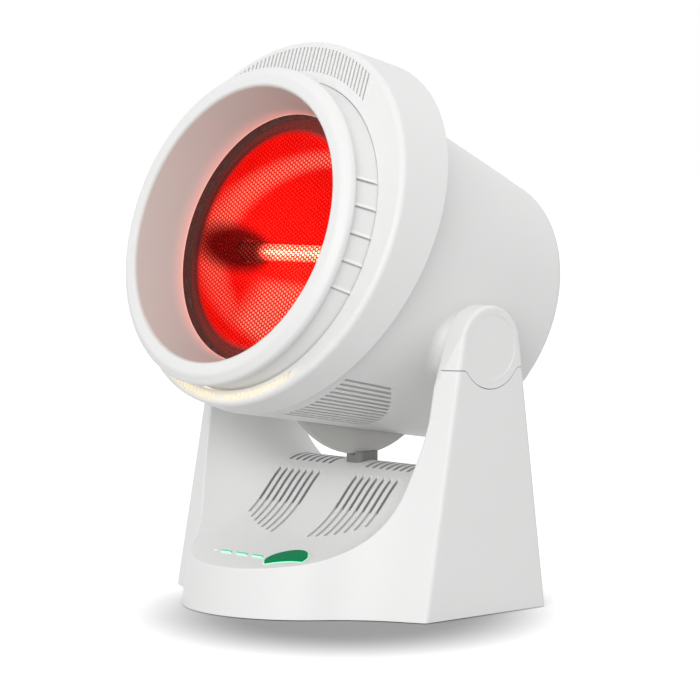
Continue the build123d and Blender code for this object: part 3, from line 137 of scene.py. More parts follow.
# ---------------------------------------------------------------- node graphs
class Graph:
    """Adds nodes to one node tree and joins them."""

    # a Mix node's sockets for colours: its sockets for other kinds of value have the same names
    FIRST_COLOUR = 6
    SECOND_COLOUR = 7
    MIXED_COLOUR = 2

    def __init__(self, tree: NodeTree) -> None:
        """Keeps the tree that nodes go to."""
        self.tree = tree

    def feed(self, socket: Socket, value: Source) -> None:
        """Sets a socket to a value, or links it to another node's output.

        Args:
            socket: The socket to feed.
            value: A value, or another node's output.
        """
        if isinstance(value, Socket):
            self.tree.links.new(value, socket)
        else:
            socket.default_value = value

    def wire(self, node: Node, inputs: dict) -> None:
        """Feeds several sockets of a node, each named or numbered."""
        for key, value in inputs.items():
            self.feed(node.inputs[key], value)

    def node(self, kind: str, inputs: dict | None = None, **settings: object) -> Node:
        """Adds one node.

        Args:
            kind: The node's type without its "ShaderNode" start.
            inputs: Socket name or index to a value or to another node's output.
            settings: Properties of the node itself.

        Returns:
            The new node.
        """
        made = self.tree.nodes.new("ShaderNode" + kind)
        for name, value in settings.items():
            setattr(made, name, value)
        self.wire(made, inputs or {})
        return made

    def group(self, tree: NodeTree, inputs: dict) -> Node:
        """Places a shared node group.

        Args:
            tree: The group's tree.
            inputs: Socket name to a value or to another node's output.

        Returns:
            The group's node.
        """
        made = self.tree.nodes.new("ShaderNodeGroup")
        made.node_tree = tree
        self.wire(made, inputs)
        return made

    def math(self, operation: str, first: Source, second: Source = 0.0) -> Socket:
        """The result of a Math node."""
        return self.node("Math", {0: first, 1: second}, operation=operation).outputs[0]

    def product(self, first: Source, *others: Source) -> Socket:
        """The product of several values.

        Args:
            first: The first value.
            others: The values that it is multiplied by.

        Returns:
            The product.
        """
        for other in others:
            first = self.math("MULTIPLY", first, other)
        return first

    def length(self, first: Source, second: Source) -> Socket:
        """The length of a line whose two parts stand square to each other."""
        return self.math("SQRT", self.math("ADD", self.product(first, first), self.product(second, second)))

    def step(self, value: Source, nought: float, full: float) -> Socket:
        """A smooth step of value: 0 at nought, 1 at full, which may lie on either side.

        Args:
            value: The value that is tested.
            nought: Where the step is 0.
            full: Where it is 1.

        Returns:
            The step, from 0 to 1.
        """
        rise = self.node("MapRange", {"Value": value}, interpolation_type="SMOOTHSTEP")
        start, end = (0.0, 1.0) if nought < full else (1.0, 0.0)
        low, high = sorted((nought, full))
        self.wire(rise, {"From Min": low, "From Max": high, "To Min": start, "To Max": end})
        return rise.outputs["Result"]

    def band(self, value: Source, start: Edge, end: Edge) -> Socket:
        """1 between two soft edges, 0 outside them."""
        return self.product(self.step(value, *start), self.step(value, *end))

    def vector(self, operation: str, first: Source, second: Source) -> Socket:
        """The vector result of a Vector Math node."""
        return self.node("VectorMath", {0: first, 1: second}, operation=operation).outputs[0]

    def measure(self, operation: str, first: Source, second: Source) -> Socket:
        """The single value that a Vector Math node gives for two vectors."""
        return self.node("VectorMath", {0: first, 1: second}, operation=operation).outputs["Value"]

    def split(self, place: Source) -> Node:
        """A node whose outputs X, Y and Z are the parts of a vector."""
        return self.node("SeparateXYZ", {0: place})

    def mix(self, factor: Source, first: Source, second: Source) -> Socket:
        """A mix of two colours.

        Args:
            factor: The second colour's share.
            first: The colour at 0.
            second: The colour at 1.

        Returns:
            The mixed colour.
        """
        blend = self.node("Mix", data_type="RGBA")
        self.wire(blend, {"Factor": factor, self.FIRST_COLOUR: first, self.SECOND_COLOUR: second})
        return blend.outputs[self.MIXED_COLOUR]

    def noise(self, place: Source, scale: Source, detail: float) -> Socket:
        """The value of a noise texture."""
        texture = self.node("TexNoise", {"Vector": place, "Scale": scale, "Detail": detail})
        return texture.outputs["Fac"]

    def bump(self, height: Source, distance: float, strength: float) -> Socket:
        """The normal of a surface with a raised pattern."""
        made = self.node("Bump", {"Height": height, "Distance": distance, "Strength": strength})
        return made.outputs["Normal"]

    def place(self) -> Socket:
        """Object coordinates, in metres from the model's origin."""
        return self.node("TexCoord").outputs["Object"]


@dataclass(frozen=True)
class Row:
    """Equal places in a row, from the first one on; its end mirrors its start."""

    first: float
    pitch: float
    count: int
    start: Edge = (-0.6, -0.4)

    def find(self, graph: Graph, value: Source) -> tuple[Socket, Socket, Socket]:
        """Finds the place of the row that lies nearest to a value.

        Args:
            graph: The graph that gets the nodes.
            value: What is looked up, in the row's own unit.

        Returns:
            The place's number, the value's distance from it, and 1 where the row has that number.
        """
        number = graph.math("DIVIDE", graph.math("SUBTRACT", value, self.first), self.pitch)
        nearest = graph.math("ROUND", number)
        away = graph.math("ABSOLUTE", graph.product(graph.math("SUBTRACT", number, nearest), self.pitch))
        end = tuple(self.count - 1 - limit for limit in self.start)
        return nearest, away, graph.band(nearest, self.start, end)


@dataclass(frozen=True)
class SharedEffects:
    """The node groups that several finishes use, each built once."""

    grain_scale: float = 1800.0
    grain_detail: float = 3.0
    variation_scale: float = 14.0
    honeycomb_pitch: float = 0.0022
    honeycomb_start: float = 100.0
    dimple_edge: Edge = (0.36, 0.20)

    def start(self, name: str, inputs: dict, outputs: tuple) -> tuple[Graph, Node, Node]:
        """Begins a node group.

        Args:
            name: The group's name.
            inputs: Input name to (socket type, default or None).
            outputs: The names of its outputs, which are all single values.

        Returns:
            The group's graph, its input node and its output node.
        """
        tree = bpy.data.node_groups.new(name, "ShaderNodeTree")
        for label, (kind, default) in inputs.items():
            socket = tree.interface.new_socket(name=label, in_out="INPUT", socket_type=kind)
            if default is not None:
                socket.default_value = default
        for label in outputs:
            tree.interface.new_socket(name=label, in_out="OUTPUT", socket_type="NodeSocketFloat")
        return Graph(tree), tree.nodes.new("NodeGroupInput"), tree.nodes.new("NodeGroupOutput")

    @cache
    def grain(self) -> NodeTree:
        """Fine moulded grain: a height for bump and a slow variation from 0 to 1.

        Returns:
            The group's tree, with the inputs Place and Grain Scale.
        """
        inputs = {"Place": ("NodeSocketVector", None), "Grain Scale": ("NodeSocketFloat", self.grain_scale)}
        graph, entry, leave = self.start("Moulded Grain", inputs, ("Height", "Variation"))
        place, scale = entry.outputs["Place"], entry.outputs["Grain Scale"]
        fine = graph.noise(place, scale, self.grain_detail)
        slow = graph.noise(place, self.variation_scale, self.grain_detail)
        graph.wire(leave, {"Height": fine, "Variation": slow})
        return graph.tree

    @cache
    def head_place(self, centre: Place) -> NodeTree:
        """Where a point lies on the head: distance forward along its axis, radius, rise and side.

        Args:
            centre: The point of the axis that distances are counted from.

        Returns:
            The group's tree, with the input Place.
        """
        inputs = {"Place": ("NodeSocketVector", None)}
        graph, entry, leave = self.start("Head Place", inputs, ("Distance", "Radius", "Rise", "Side"))
        way, up = head_axes()
        local = graph.vector("SUBTRACT", entry.outputs["Place"], centre)
        distance = graph.measure("DOT_PRODUCT", local, tuple(way))
        rise = graph.measure("DOT_PRODUCT", local, tuple(up))
        side = graph.measure("DOT_PRODUCT", local, (1.0, 0.0, 0.0))
        radius = graph.length(rise, side)
        graph.wire(leave, {"Distance": distance, "Rise": rise, "Side": side, "Radius": radius})
        return graph.tree

    @cache
    def honeycomb(self) -> NodeTree:
        """Round dimples on a honeycomb pattern with upright columns: 1 at each middle, 0 between them.

        Returns:
            The group's tree, with the inputs Side, Rise and Pitch.
        """
        inputs = {
            "Side": ("NodeSocketFloat", None),
            "Rise": ("NodeSocketFloat", None),
            "Pitch": ("NodeSocketFloat", self.honeycomb_pitch),
        }
        graph, entry, leave = self.start("Honeycomb", inputs, ("Dimple",))
        pitch = entry.outputs["Pitch"]
        width = graph.product(pitch, math.sqrt(3))
        reaches = []
        for shift in (0.0, 0.5):
            parts = []
            for label, period in (("Side", width), ("Rise", pitch)):
                cell = graph.math("DIVIDE", entry.outputs[label], period)
                moved = graph.math("ADD", cell, self.honeycomb_start + shift)
                offset = graph.math("SUBTRACT", graph.math("FRACT", moved), 0.5)
                parts.append(graph.product(offset, period))
            reaches.append(graph.length(*parts))
        share = graph.math("DIVIDE", graph.math("MINIMUM", *reaches), pitch)
        graph.wire(leave, {"Dimple": graph.step(share, *self.dimple_edge)})
        return graph.tree


EFFECTS = SharedEffects()


def head_axes() -> tuple[Vector, Vector]:
    """The head's forward and upward directions at rest."""
    way = Vector((0.0, -math.cos(HEAD_TILT), math.sin(HEAD_TILT)))
    return way, Vector((0.0, math.sin(HEAD_TILT), math.cos(HEAD_TILT)))


def head_centre(frame: dict) -> Vector:
    """The point of the head's axis nearest to the tilt pivot."""
    joint = next(item for item in frame["joints"] if item["name"] == "head_tilt")
    return Vector(joint["pos_m"]) + head_axes()[1] * AXIS_LIFT


def head_spot(graph: Graph, centre: Place) -> Node:
    """Places the node group that says where a point lies on the head."""
    return graph.group(EFFECTS.head_place(centre), {"Place": graph.place()})


def flank_turn(graph: Graph, spot: Node) -> Socket:
    """The angle of a point of the head above its widest line, the same on both flanks."""
    return graph.math("ARCTAN2", spot.outputs["Rise"], graph.math("ABSOLUTE", spot.outputs["Side"]))


# ---------------------------------------------------------------- finishes
@dataclass(frozen=True)
class Finish:
    """A material's recipe. Each kind of finish feeds the shader in its own way."""

    name: str

    def build(self) -> Material:
        """Makes the material.

        Returns:
            The new material.
        """
        material = bpy.data.materials.new(self.name)
        material.use_nodes = True
        shader = next(node for node in material.node_tree.nodes if node.type == "BSDF_PRINCIPLED")
        self.lay(Graph(material.node_tree), shader)
        return material

    def lay(self, graph: Graph, shader: Node) -> None:
        """Feeds the shader; a bare finish leaves it as it is.

        Args:
            graph: The material's graph.
            shader: Its Principled node.
        """


@cache
def made_of(finish: Finish) -> Material:
    """The material of a finish, built once."""
    return finish.build()


def fed(shader: Node, name: str) -> Socket:
    """The output that feeds one of a shader's sockets so far."""
    return shader.inputs[name].links[0].from_socket


@dataclass(frozen=True)
class MouldedPlastic(Finish):
    """Injection-moulded plastic with a fine grain and a slow change of gloss."""

    colour: Colour
    roughness: float = 0.42
    roughness_spread: float = 0.05
    grain_scale: float = 2200.0
    grain_depth: float = 0.00001
    grain_strength: float = 0.6
    shade: float = 0.965
    coat: float = 0.0
    specular: float = 0.5

    def lay(self, graph: Graph, shader: Node) -> None:
        """Feeds the shader with the grained colour.

        Args:
            graph: The material's graph.
            shader: Its Principled node.
        """
        grain = graph.group(EFFECTS.grain(), {"Place": graph.place(), "Grain Scale": self.grain_scale})
        variation = grain.outputs["Variation"]
        spread = graph.product(variation, self.roughness_spread)
        graph.wire(shader, {
            "Base Color": graph.mix(variation, dimmed(self.colour, self.shade), self.colour),
            "Roughness": graph.math("ADD", spread, self.roughness),
            "Coat Weight": self.coat,
            "Specular IOR Level": self.specular,
            "Normal": graph.bump(grain.outputs["Height"], self.grain_depth, self.grain_strength),
        })


@dataclass(frozen=True)
class FunnelPlastic(MouldedPlastic):
    """The front ring's plastic: a funnel drawn in painted warm grey shade, with painted red light at the
    glass, and painted cream light behind the low vents.
    """

    centre: Place = (0.0, 0.0, 0.0)
    # painted shade: the funnel's white plastic drawn warm grey where it lies in shade with red light on it
    funnel_shade: Colour = rgb(0.62, 0.60, 0.565)
    # painted light: a red glow and a pink rim line on the funnel next to the glass
    glow_colour: Colour = rgb(0.30, 0.045, 0.030)
    rim_colour: Colour = rgb(0.85, 0.20, 0.13)
    # painted light: a grey glow on the flange that lifts the shade in the gap behind the collar's opening
    gap_colour: Colour = rgb(0.30, 0.30, 0.30)
    # painted light from inside the lamp, laid on the flange behind the low vents as emission
    vent_light: Colour = rgb(0.80, 0.66, 0.42)
    # the ribs' painted shade and painted highlight
    rib_shade: Colour = rgb(0.44, 0.44, 0.44)
    rib_light: Colour = rgb(0.93, 0.93, 0.92)
    funnel_radius: Edge = (FUNNEL_REAR_RADIUS + 0.0085, FUNNEL_REAR_RADIUS + 0.0065)
    funnel_start: Edge = (GLASS_FRONT - 0.0010, GLASS_FRONT - 0.0002)
    glow_reach: Edge = (GLASS_FRONT + 0.011, GLASS_FRONT)
    rim_reach: Edge = (GLASS_FRONT + 0.0009, GLASS_FRONT)
    flange_radius: Edge = (0.0842, 0.0846)
    flange_front: Edge = (GLASS_FRONT + 0.0002, GLASS_FRONT - 0.0004)
    vent_light_top: Edge = (-0.060, -0.070)
    rib_pitch: float = math.radians(10.0)
    rib_fan: Edge = (math.radians(22.0) + 0.001, math.radians(22.0))
    grip_radius: Edge = (0.0808, 0.0810)
    grip_rear: Edge = (0.0843, 0.0846)
    grip_front: Edge = (0.0980, 0.0978)
    foot_start: Edge = (-0.0021, -0.0013)
    foot_end: Edge = (-0.00075, -0.00088)
    crown_start: Edge = (-0.00075, -0.00055)
    crown_end: Edge = (0.0009, 0.0007)

    def ribs(self, graph: Graph, spot: Node, plain: Source) -> Socket:
        """The grip band's colour with painted shade below each rib and a painted highlight on its top.

        Args:
            graph: The graph that gets the nodes.
            spot: The node that places a point on the head.
            plain: The colour without ribs.

        Returns:
            The colour with the ribs.
        """
        distance, radius = spot.outputs["Distance"], spot.outputs["Radius"]
        turn = flank_turn(graph, spot)
        among = graph.product(
            graph.step(graph.math("ABSOLUTE", turn), *self.rib_fan),
            graph.step(radius, *self.grip_radius),
            graph.band(distance, self.grip_rear, self.grip_front),
        )
        half = self.rib_pitch / 2.0
        wrap = graph.node("Math", {0: turn, 1: half, 2: -half}, operation="WRAP")
        above = graph.product(wrap.outputs[0], radius)
        # painted shade at each rib's foot and a painted highlight on its crown
        foot = graph.band(above, self.foot_start, self.foot_end)
        crown = graph.band(above, self.crown_start, self.crown_end)
        shaded = graph.mix(graph.product(foot, among), plain, self.rib_shade)
        return graph.mix(graph.product(crown, among), shaded, self.rib_light)

    def lay(self, graph: Graph, shader: Node) -> None:
        """Adds the funnel's painted shade, the ribs' painted shade and highlights, and the painted light
        behind the glass and the vents.

        Args:
            graph: The material's graph.
            shader: Its Principled node.
        """
        super().lay(graph, shader)
        spot = head_spot(graph, self.centre)
        distance, radius = spot.outputs["Distance"], spot.outputs["Radius"]
        inside = graph.step(radius, *self.funnel_radius)
        funnel = graph.product(inside, graph.step(distance, *self.funnel_start))
        near = graph.step(distance, *self.glow_reach)
        glow = graph.product(near, near, funnel)
        rim = graph.product(graph.step(distance, *self.rim_reach), funnel)
        outside = graph.step(radius, *self.flange_radius)
        flange = graph.product(outside, graph.step(distance, *self.flange_front))
        low = graph.product(flange, graph.step(spot.outputs["Rise"], *self.vent_light_top))
        # painted light as emission: the red glow and the pink rim at the glass
        lit = graph.mix(glow, BLACK, self.glow_colour)
        lit = graph.mix(rim, lit, self.rim_colour)
        # painted light: the grey glow that lifts the shade in the flange's gap
        lit = graph.mix(flange, lit, self.gap_colour)
        ribbed = self.ribs(graph, spot, fed(shader, "Base Color"))
        # the funnel's painted shade as its colour; the painted light at the glass, in the flange's gap and
        # behind the low vents as emission
        graph.wire(shader, {
            "Base Color": graph.mix(funnel, ribbed, self.funnel_shade),
            "Emission Color": graph.mix(low, lit, self.vent_light),
            "Emission Strength": 1.0,
        })


@dataclass(frozen=True)
class CollarPlastic(MouldedPlastic):
    """The collar's plastic, with the lamp's cream light soaking through round the low vents."""

    centre: Place = (0.0, 0.0, 0.0)
    # painted light from inside the lamp, laid on the collar round the low vents as emission
    vent_light: Colour = rgb(1.0, 0.80, 0.42)
    vent_radius: float = 0.0878
    vent_reach: Edge = (0.0045, 0.0)
    vent_light_top: Edge = (-0.066, -0.078)
    strength: float = 0.30

    def lay(self, graph: Graph, shader: Node) -> None:
        """Adds the light round the vents.

        Args:
            graph: The material's graph.
            shader: Its Principled node.
        """
        super().lay(graph, shader)
        spot = head_spot(graph, self.centre)
        away = graph.math("ABSOLUTE", graph.math("SUBTRACT", spot.outputs["Radius"], self.vent_radius))
        near = graph.step(away, *self.vent_reach)
        low = graph.product(near, graph.step(spot.outputs["Rise"], *self.vent_light_top))
        glow = graph.mix(low, BLACK, self.vent_light)
        graph.wire(shader, {"Emission Color": glow, "Emission Strength": self.strength})


@dataclass(frozen=True)
class BarrelPlastic(MouldedPlastic):
    """The barrel's plastic, with painted shade in the fine grooves on its flanks.

    The first groove is the highest, and the lower ones reach farther back.
    """

    centre: Place = (0.0, 0.0, 0.0)
    # painted shade in the fine grooves, standing in for their shadow
    recess_shade: Colour = rgb(0.49, 0.49, 0.485)
    grooves: Row = Row(first=math.radians(-48.4), pitch=-math.radians(2.35), count=13)
    groove_side: Edge = (0.00089, 0.00081)
    groove_front: Edge = (0.0605, 0.0601)
    groove_end: Edge = (0.0, 0.0004)
    rearmost_end: float = 0.0012
    end_reach: float = 0.0227
    end_count: float = 10.0
    end_power: float = 1.7

    def lay(self, graph: Graph, shader: Node) -> None:
        """Adds the painted shade in the grooves.

        Args:
            graph: The material's graph.
            shader: Its Principled node.
        """
        super().lay(graph, shader)
        spot = head_spot(graph, self.centre)
        distance = spot.outputs["Distance"]
        nearest, away, counted = self.grooves.find(graph, flank_turn(graph, spot))
        in_groove = graph.step(graph.product(away, spot.outputs["Radius"]), *self.groove_side)
        left = graph.math("SUBTRACT", 1.0, graph.math("DIVIDE", nearest, self.end_count))
        fade = graph.math("POWER", graph.math("MAXIMUM", left, 0.0), self.end_power)
        end = graph.math("ADD", self.rearmost_end, graph.product(fade, self.end_reach))
        past_end = graph.step(graph.math("SUBTRACT", distance, end), *self.groove_end)
        along = graph.product(past_end, graph.step(distance, *self.groove_front))
        # painted shade in the grooves
        shaded_recess = graph.product(in_groove, counted, along)
        graph.wire(shader, {"Base Color": graph.mix(shaded_recess, fed(shader, "Base Color"), self.recess_shade)})


@dataclass(frozen=True)
class LitShell(MouldedPlastic):
    """The base's shell: painted light leaks out round the button, and painted shade lies in the ramp's
    slots and grooves.
    """

    pivot_y: float = 0.0
    # painted light on the shell round the button's gap: a green colour and a green glow
    tint: Colour = rgb(0.50, 0.98, 0.78)
    glow: Colour = rgb(0.10, 0.34, 0.20)
    glow_reach: Edge = (0.0014, 0.0)
    glow_height: Edge = (0.024, 0.026)
    # painted shade: darker in the ramp's through slots, lighter in the grooves that run on from them
    slot_shade: Colour = rgb(0.44, 0.44, 0.435)
    groove_shade: Colour = rgb(0.56, 0.56, 0.55)
    shade_change: Edge = (-0.034, -0.030)
    slots: Row = Row(first=0.0146, pitch=0.00527, count=7)
    slot_side: Edge = (0.00115, 0.0011)
    slot_end: Edge = (0.0, 0.0004)
    arc_place: float = -0.0535
    arc_radius: float = 0.080
    ramp_top: Edge = (-0.0165, -0.0169)
    crest_start: Edge = (-0.0105, -0.0101)
    crest_end: Edge = (0.0067, 0.0063)

    def with_recess_shade(self, graph: Graph, parts: Node, plain: Source) -> Socket:
        """The shell's colour with painted shade in the ramp's slots and in the grooves that run on from
        them.

        Args:
            graph: The graph that gets the nodes.
            parts: The node with a point's X, Y and Z.
            plain: The colour without the painted shade.

        Returns:
            The colour with the painted shade.
        """
        side = graph.math("ABSOLUTE", parts.outputs["X"])
        back = graph.math("SUBTRACT", parts.outputs["Y"], self.pivot_y)
        _, away, counted = self.slots.find(graph, side)
        in_slot = graph.step(away, *self.slot_side)
        bend = graph.math("DIVIDE", graph.product(side, side), 2.0 * self.arc_radius)
        past_end = graph.math("SUBTRACT", back, graph.math("ADD", bend, self.arc_place))
        ramp = graph.product(graph.step(past_end, *self.slot_end), graph.step(back, *self.ramp_top))
        crest = graph.band(back, self.crest_start, self.crest_end)
        # painted shade in the slots and grooves
        shaded_recess = graph.product(in_slot, counted, graph.math("MAXIMUM", ramp, crest))
        recess_shade = graph.mix(graph.step(back, *self.shade_change), self.groove_shade, self.slot_shade)
        return graph.mix(shaded_recess, plain, recess_shade)

    def outside(self, graph: Graph, place: Source, names: tuple[str, str, str]) -> Socket:
        """How far outside one of the button's circles a point lies.

        Args:
            graph: The graph that gets the nodes.
            place: The point, with its height taken off.
            names: The points of LEAF that the circle passes through.

        Returns:
            The distance from the circle, below 0 inside it.
        """
        start, through, end = (Vector(LEAF[name]) for name in names)
        middle = circle_through(start, through, end)
        spot = (middle.x + BUTTON_PLACE[0], middle.y + self.pivot_y + BUTTON_PLACE[1], 0.0)
        return graph.math("SUBTRACT", graph.measure("DISTANCE", place, spot), (start - middle).length)

    def lay(self, graph: Graph, shader: Node) -> None:
        """Adds the painted light round the button, and the painted shade in the slots and grooves.

        Args:
            graph: The material's graph.
            shader: Its Principled node.
        """
        super().lay(graph, shader)
        place = graph.place()
        parts = graph.split(place)
        flat = graph.vector("MULTIPLY", place, (1.0, 1.0, 0.0))
        past_far = self.outside(graph, flat, ("tip", "far_side", "rear"))
        right_end = BUTTON_PLACE[0] + max(corner[0] for corner in LEAF.values())
        past_right = graph.math("SUBTRACT", parts.outputs["X"], right_end)
        past_near = graph.product(self.outside(graph, flat, ("notch", "near_side", "tip")), -1.0)
        leaf = graph.math("MAXIMUM", graph.math("MAXIMUM", past_far, past_right), past_near)
        upper = graph.step(parts.outputs["Z"], *self.glow_height)
        lit = graph.product(graph.step(leaf, *self.glow_reach), upper)
        with_recess_shade = self.with_recess_shade(graph, parts, fed(shader, "Base Color"))
        graph.wire(shader, {
            "Base Color": graph.mix(lit, with_recess_shade, self.tint),
            "Emission Color": graph.mix(lit, BLACK, self.glow),
            "Emission Strength": 1.0,
        })


@dataclass(frozen=True)
class RedGlass(Finish):
    """Red glass ceramic: a dark border, and a rear face full of clear dimples on a honeycomb pattern."""

    centre: Place
    red: Colour = rgb(0.93, 0.00004, 0.00002)
    clear: Colour = rgb(1.0, 0.52, 0.38)
    border: Colour = rgb(0.010, 0.0002, 0.0002)
    border_glow: Colour = rgb(0.075, 0.024, 0.020)
    border_strength: float = 0.6
    border_radius: Edge = (0.0560, 0.0605)
    rear_face: Edge = (GLASS_FRONT - 0.002, GLASS_FRONT - 0.003)
    pitch: float = 0.0022
    dimple_depth: float = 0.000015
    roughness: float = 0.02
    refraction: float = 1.06

    def lay(self, graph: Graph, shader: Node) -> None:
        """Feeds the shader with tinted and dimpled glass.

        Args:
            graph: The material's graph.
            shader: Its Principled node.
        """
        spot = head_spot(graph, self.centre)
        edge = graph.step(spot.outputs["Radius"], *self.border_radius)
        places = {"Side": spot.outputs["Side"], "Rise": spot.outputs["Rise"], "Pitch": self.pitch}
        cells = graph.group(EFFECTS.honeycomb(), places)
        rear = graph.step(spot.outputs["Distance"], *self.rear_face)
        covered = graph.product(graph.math("SUBTRACT", 1.0, edge), rear)
        dimple = graph.product(cells.outputs["Dimple"], covered)
        tint = graph.mix(edge, graph.mix(dimple, self.red, self.clear), self.border)
        graph.wire(shader, {
            "Base Color": graph.mix(rear, WHITE, tint),
            "Roughness": self.roughness,
            "Emission Color": graph.mix(edge, BLACK, self.border_glow),
            "Emission Strength": self.border_strength,
            "IOR": self.refraction,
            "Transmission Weight": 1.0,
            "Normal": graph.bump(dimple, self.dimple_depth, 1.0),
        })


@dataclass(frozen=True)
class SheetMetal(Finish):
    """Sheet metal with rolling marks and a mottled tarnish."""

    colour: Colour
    roughness: float = 0.3
    roughness_spread: float = 0.18
    marks: Place = (30.0, 900.0, 900.0)
    mark_detail: float = 3.0
    mark_depth: float = 0.00001
    mark_strength: float = 0.5
    mottle_scale: float = 60.0
    mottle_detail: float = 4.0
    tarnish: float = 0.8

    def lay(self, graph: Graph, shader: Node) -> None:
        """Feeds the shader with marked and mottled metal.

        Args:
            graph: The material's graph.
            shader: Its Principled node.
        """
        place = graph.place()
        lines = graph.noise(graph.vector("MULTIPLY", place, self.marks), 1.0, self.mark_detail)
        mottle = graph.noise(place, self.mottle_scale, self.mottle_detail)
        graph.wire(shader, {
            "Base Color": graph.mix(mottle, dimmed(self.colour, self.tarnish), self.colour),
            "Metallic": 1.0,
            "Roughness": graph.math("ADD", graph.product(lines, self.roughness_spread), self.roughness),
            "Normal": graph.bump(lines, self.mark_depth, self.mark_strength),
        })


@dataclass(frozen=True)
class HotBowl(SheetMetal):
    """The reflector, filled with the lamp's red light: a bright ring, and a bright fan below the tube."""

    centre: Place = (0.0, 0.0, 0.0)
    red: Colour = rgb(0.98, 0.010, 0.004)
    deep: Colour = rgb(0.62, 0.002, 0.001)
    pink: Colour = rgb(1.0, 0.72, 0.58)
    # round the tube's holes the glow dims to this colour and the base colour darkens
    end_dark: Colour = rgb(0.16, 0.003, 0.003)
    hole_dark: Colour = rgb(0.03, 0.01, 0.01)
    strength: float = 0.71
    ring_half_width: float = 0.061
    ring_half_height: float = 0.051
    ring_inner: Edge = (0.90, 0.985)
    ring_outer: Edge = (1.10, 1.01)
    ring_least: float = 0.38
    ring_rise: float = 0.42
    ring_upper: Edge = (-0.050, 0.040)
    fan_top: Edge = (-0.010, -0.019)
    fan_foot: Edge = (1.08, 0.97)
    fan_side: Edge = (0.047, 0.034)
    hole_side: float = 0.0535
    hole_reach: Edge = (0.0165, 0.0075)
    haze_scale: float = 45.0
    haze_detail: float = 2.0
    haze_edge: Edge = (0.30, 0.60)
    evenness: float = 0.75

    def brightness(self, graph: Graph, side: Source, rise: Source) -> Socket:
        """How much of the ring's or the fan's light a point has.

        Args:
            graph: The graph that gets the nodes.
            side: A point's distance beside the axis.
            rise: Its height above the axis.

        Returns:
            The brightness, from 0 to 1.
        """
        across = graph.math("DIVIDE", side, self.ring_half_width)
        upright = graph.math("DIVIDE", rise, self.ring_half_height)
        reach = graph.length(across, upright)
        ring = graph.band(reach, self.ring_inner, self.ring_outer)
        low = graph.product(graph.step(rise, *self.fan_top), graph.step(reach, *self.fan_foot))
        fan = graph.product(low, graph.step(side, *self.fan_side))
        higher = graph.product(graph.step(rise, *self.ring_upper), self.ring_rise)
        return graph.math("MAXIMUM", graph.product(ring, graph.math("ADD", self.ring_least, higher)), fan)

    def lay(self, graph: Graph, shader: Node) -> None:
        """Adds the lamp's painted light, dimmer and darker round the tube's holes.

        Args:
            graph: The material's graph.
            shader: Its Principled node.
        """
        super().lay(graph, shader)
        spot = head_spot(graph, self.centre)
        side, rise = graph.math("ABSOLUTE", spot.outputs["Side"]), spot.outputs["Rise"]
        from_hole = graph.length(graph.math("SUBTRACT", side, self.hole_side), rise)
        # darker round the tube's holes
        near_hole = graph.step(from_hole, *self.hole_reach)
        # painted light: the reflector's red glow, with a bright ring and a bright fan standing in for
        # reflections of the hot tube, laid on as emission
        haze = graph.noise(graph.place(), self.haze_scale, self.haze_detail)
        colour = graph.mix(graph.step(haze, *self.haze_edge), self.deep, self.red)
        colour = graph.mix(self.evenness, colour, self.red)
        colour = graph.mix(self.brightness(graph, side, rise), colour, self.pink)
        graph.wire(shader, {
            "Base Color": graph.mix(near_hole, fed(shader, "Base Color"), self.hole_dark),
            "Emission Color": graph.mix(near_hole, colour, self.end_dark),
            "Emission Strength": self.strength,
        })


@dataclass(frozen=True)
class LitPlastic(Finish):
    """Clear tinted plastic with a lamp behind it."""

    glow: Colour
    strength: float = 1.0
    colour: Colour = rgb(0.30, 0.80, 0.60)
    roughness: float = 0.22
    cloud_scale: float = 500.0
    cloud_detail: float = 2.0
    cloud_dim: float = 0.86
    cloud_shade: float = 0.5

    def lay(self, graph: Graph, shader: Node) -> None:
        """Feeds the shader with cloudy light.

        Args:
            graph: The material's graph.
            shader: Its Principled node.
        """
        cloud = graph.noise(graph.place(), self.cloud_scale, self.cloud_detail)
        graph.wire(shader, {
            "Base Color": graph.mix(cloud, dimmed(self.colour, self.cloud_shade), self.colour),
            "Emission Color": graph.mix(cloud, dimmed(self.glow, self.cloud_dim), self.glow),
            "Emission Strength": self.strength,
            "Roughness": self.roughness,
        })


@dataclass(frozen=True)
class TimerWindow(LitPlastic):
    """A timer window: pale light, with a saturated strip along its far edge and its right end."""

    row_y: float = 0.0
    first_x: float = -0.0174
    pitch: float = 0.0124
    slope: float = 1.0476
    edge: Colour = rgb(0.0, 0.46, 0.19)
    far_strip: Edge = (0.0002, 0.0006)
    end_strip: Edge = (0.26, 0.29)
    end_start: Edge = (-0.0010, -0.0004)
    row_start: Edge = (-0.52, -0.48)
    cells_before: float = 8.5

    def lay(self, graph: Graph, shader: Node) -> None:
        """Adds the strip to the light.

        Args:
            graph: The material's graph.
            shader: Its Principled node.
        """
        super().lay(graph, shader)
        parts = graph.split(graph.place())
        deep = graph.math("SUBTRACT", parts.outputs["Y"], self.row_y)
        straight = graph.math("ADD", parts.outputs["X"], graph.product(deep, self.slope))
        cell = graph.math("DIVIDE", graph.math("SUBTRACT", straight, self.first_x), self.pitch)
        along = graph.math("SUBTRACT", graph.math("FRACT", graph.math("ADD", cell, self.cells_before)), 0.5)
        far = graph.step(deep, *self.far_strip)
        end = graph.product(graph.step(along, *self.end_strip), graph.step(deep, *self.end_start))
        strip = graph.product(graph.math("MAXIMUM", far, end), graph.step(cell, *self.row_start))
        graph.wire(shader, {"Emission Color": graph.mix(strip, fed(shader, "Emission Color"), self.edge)})


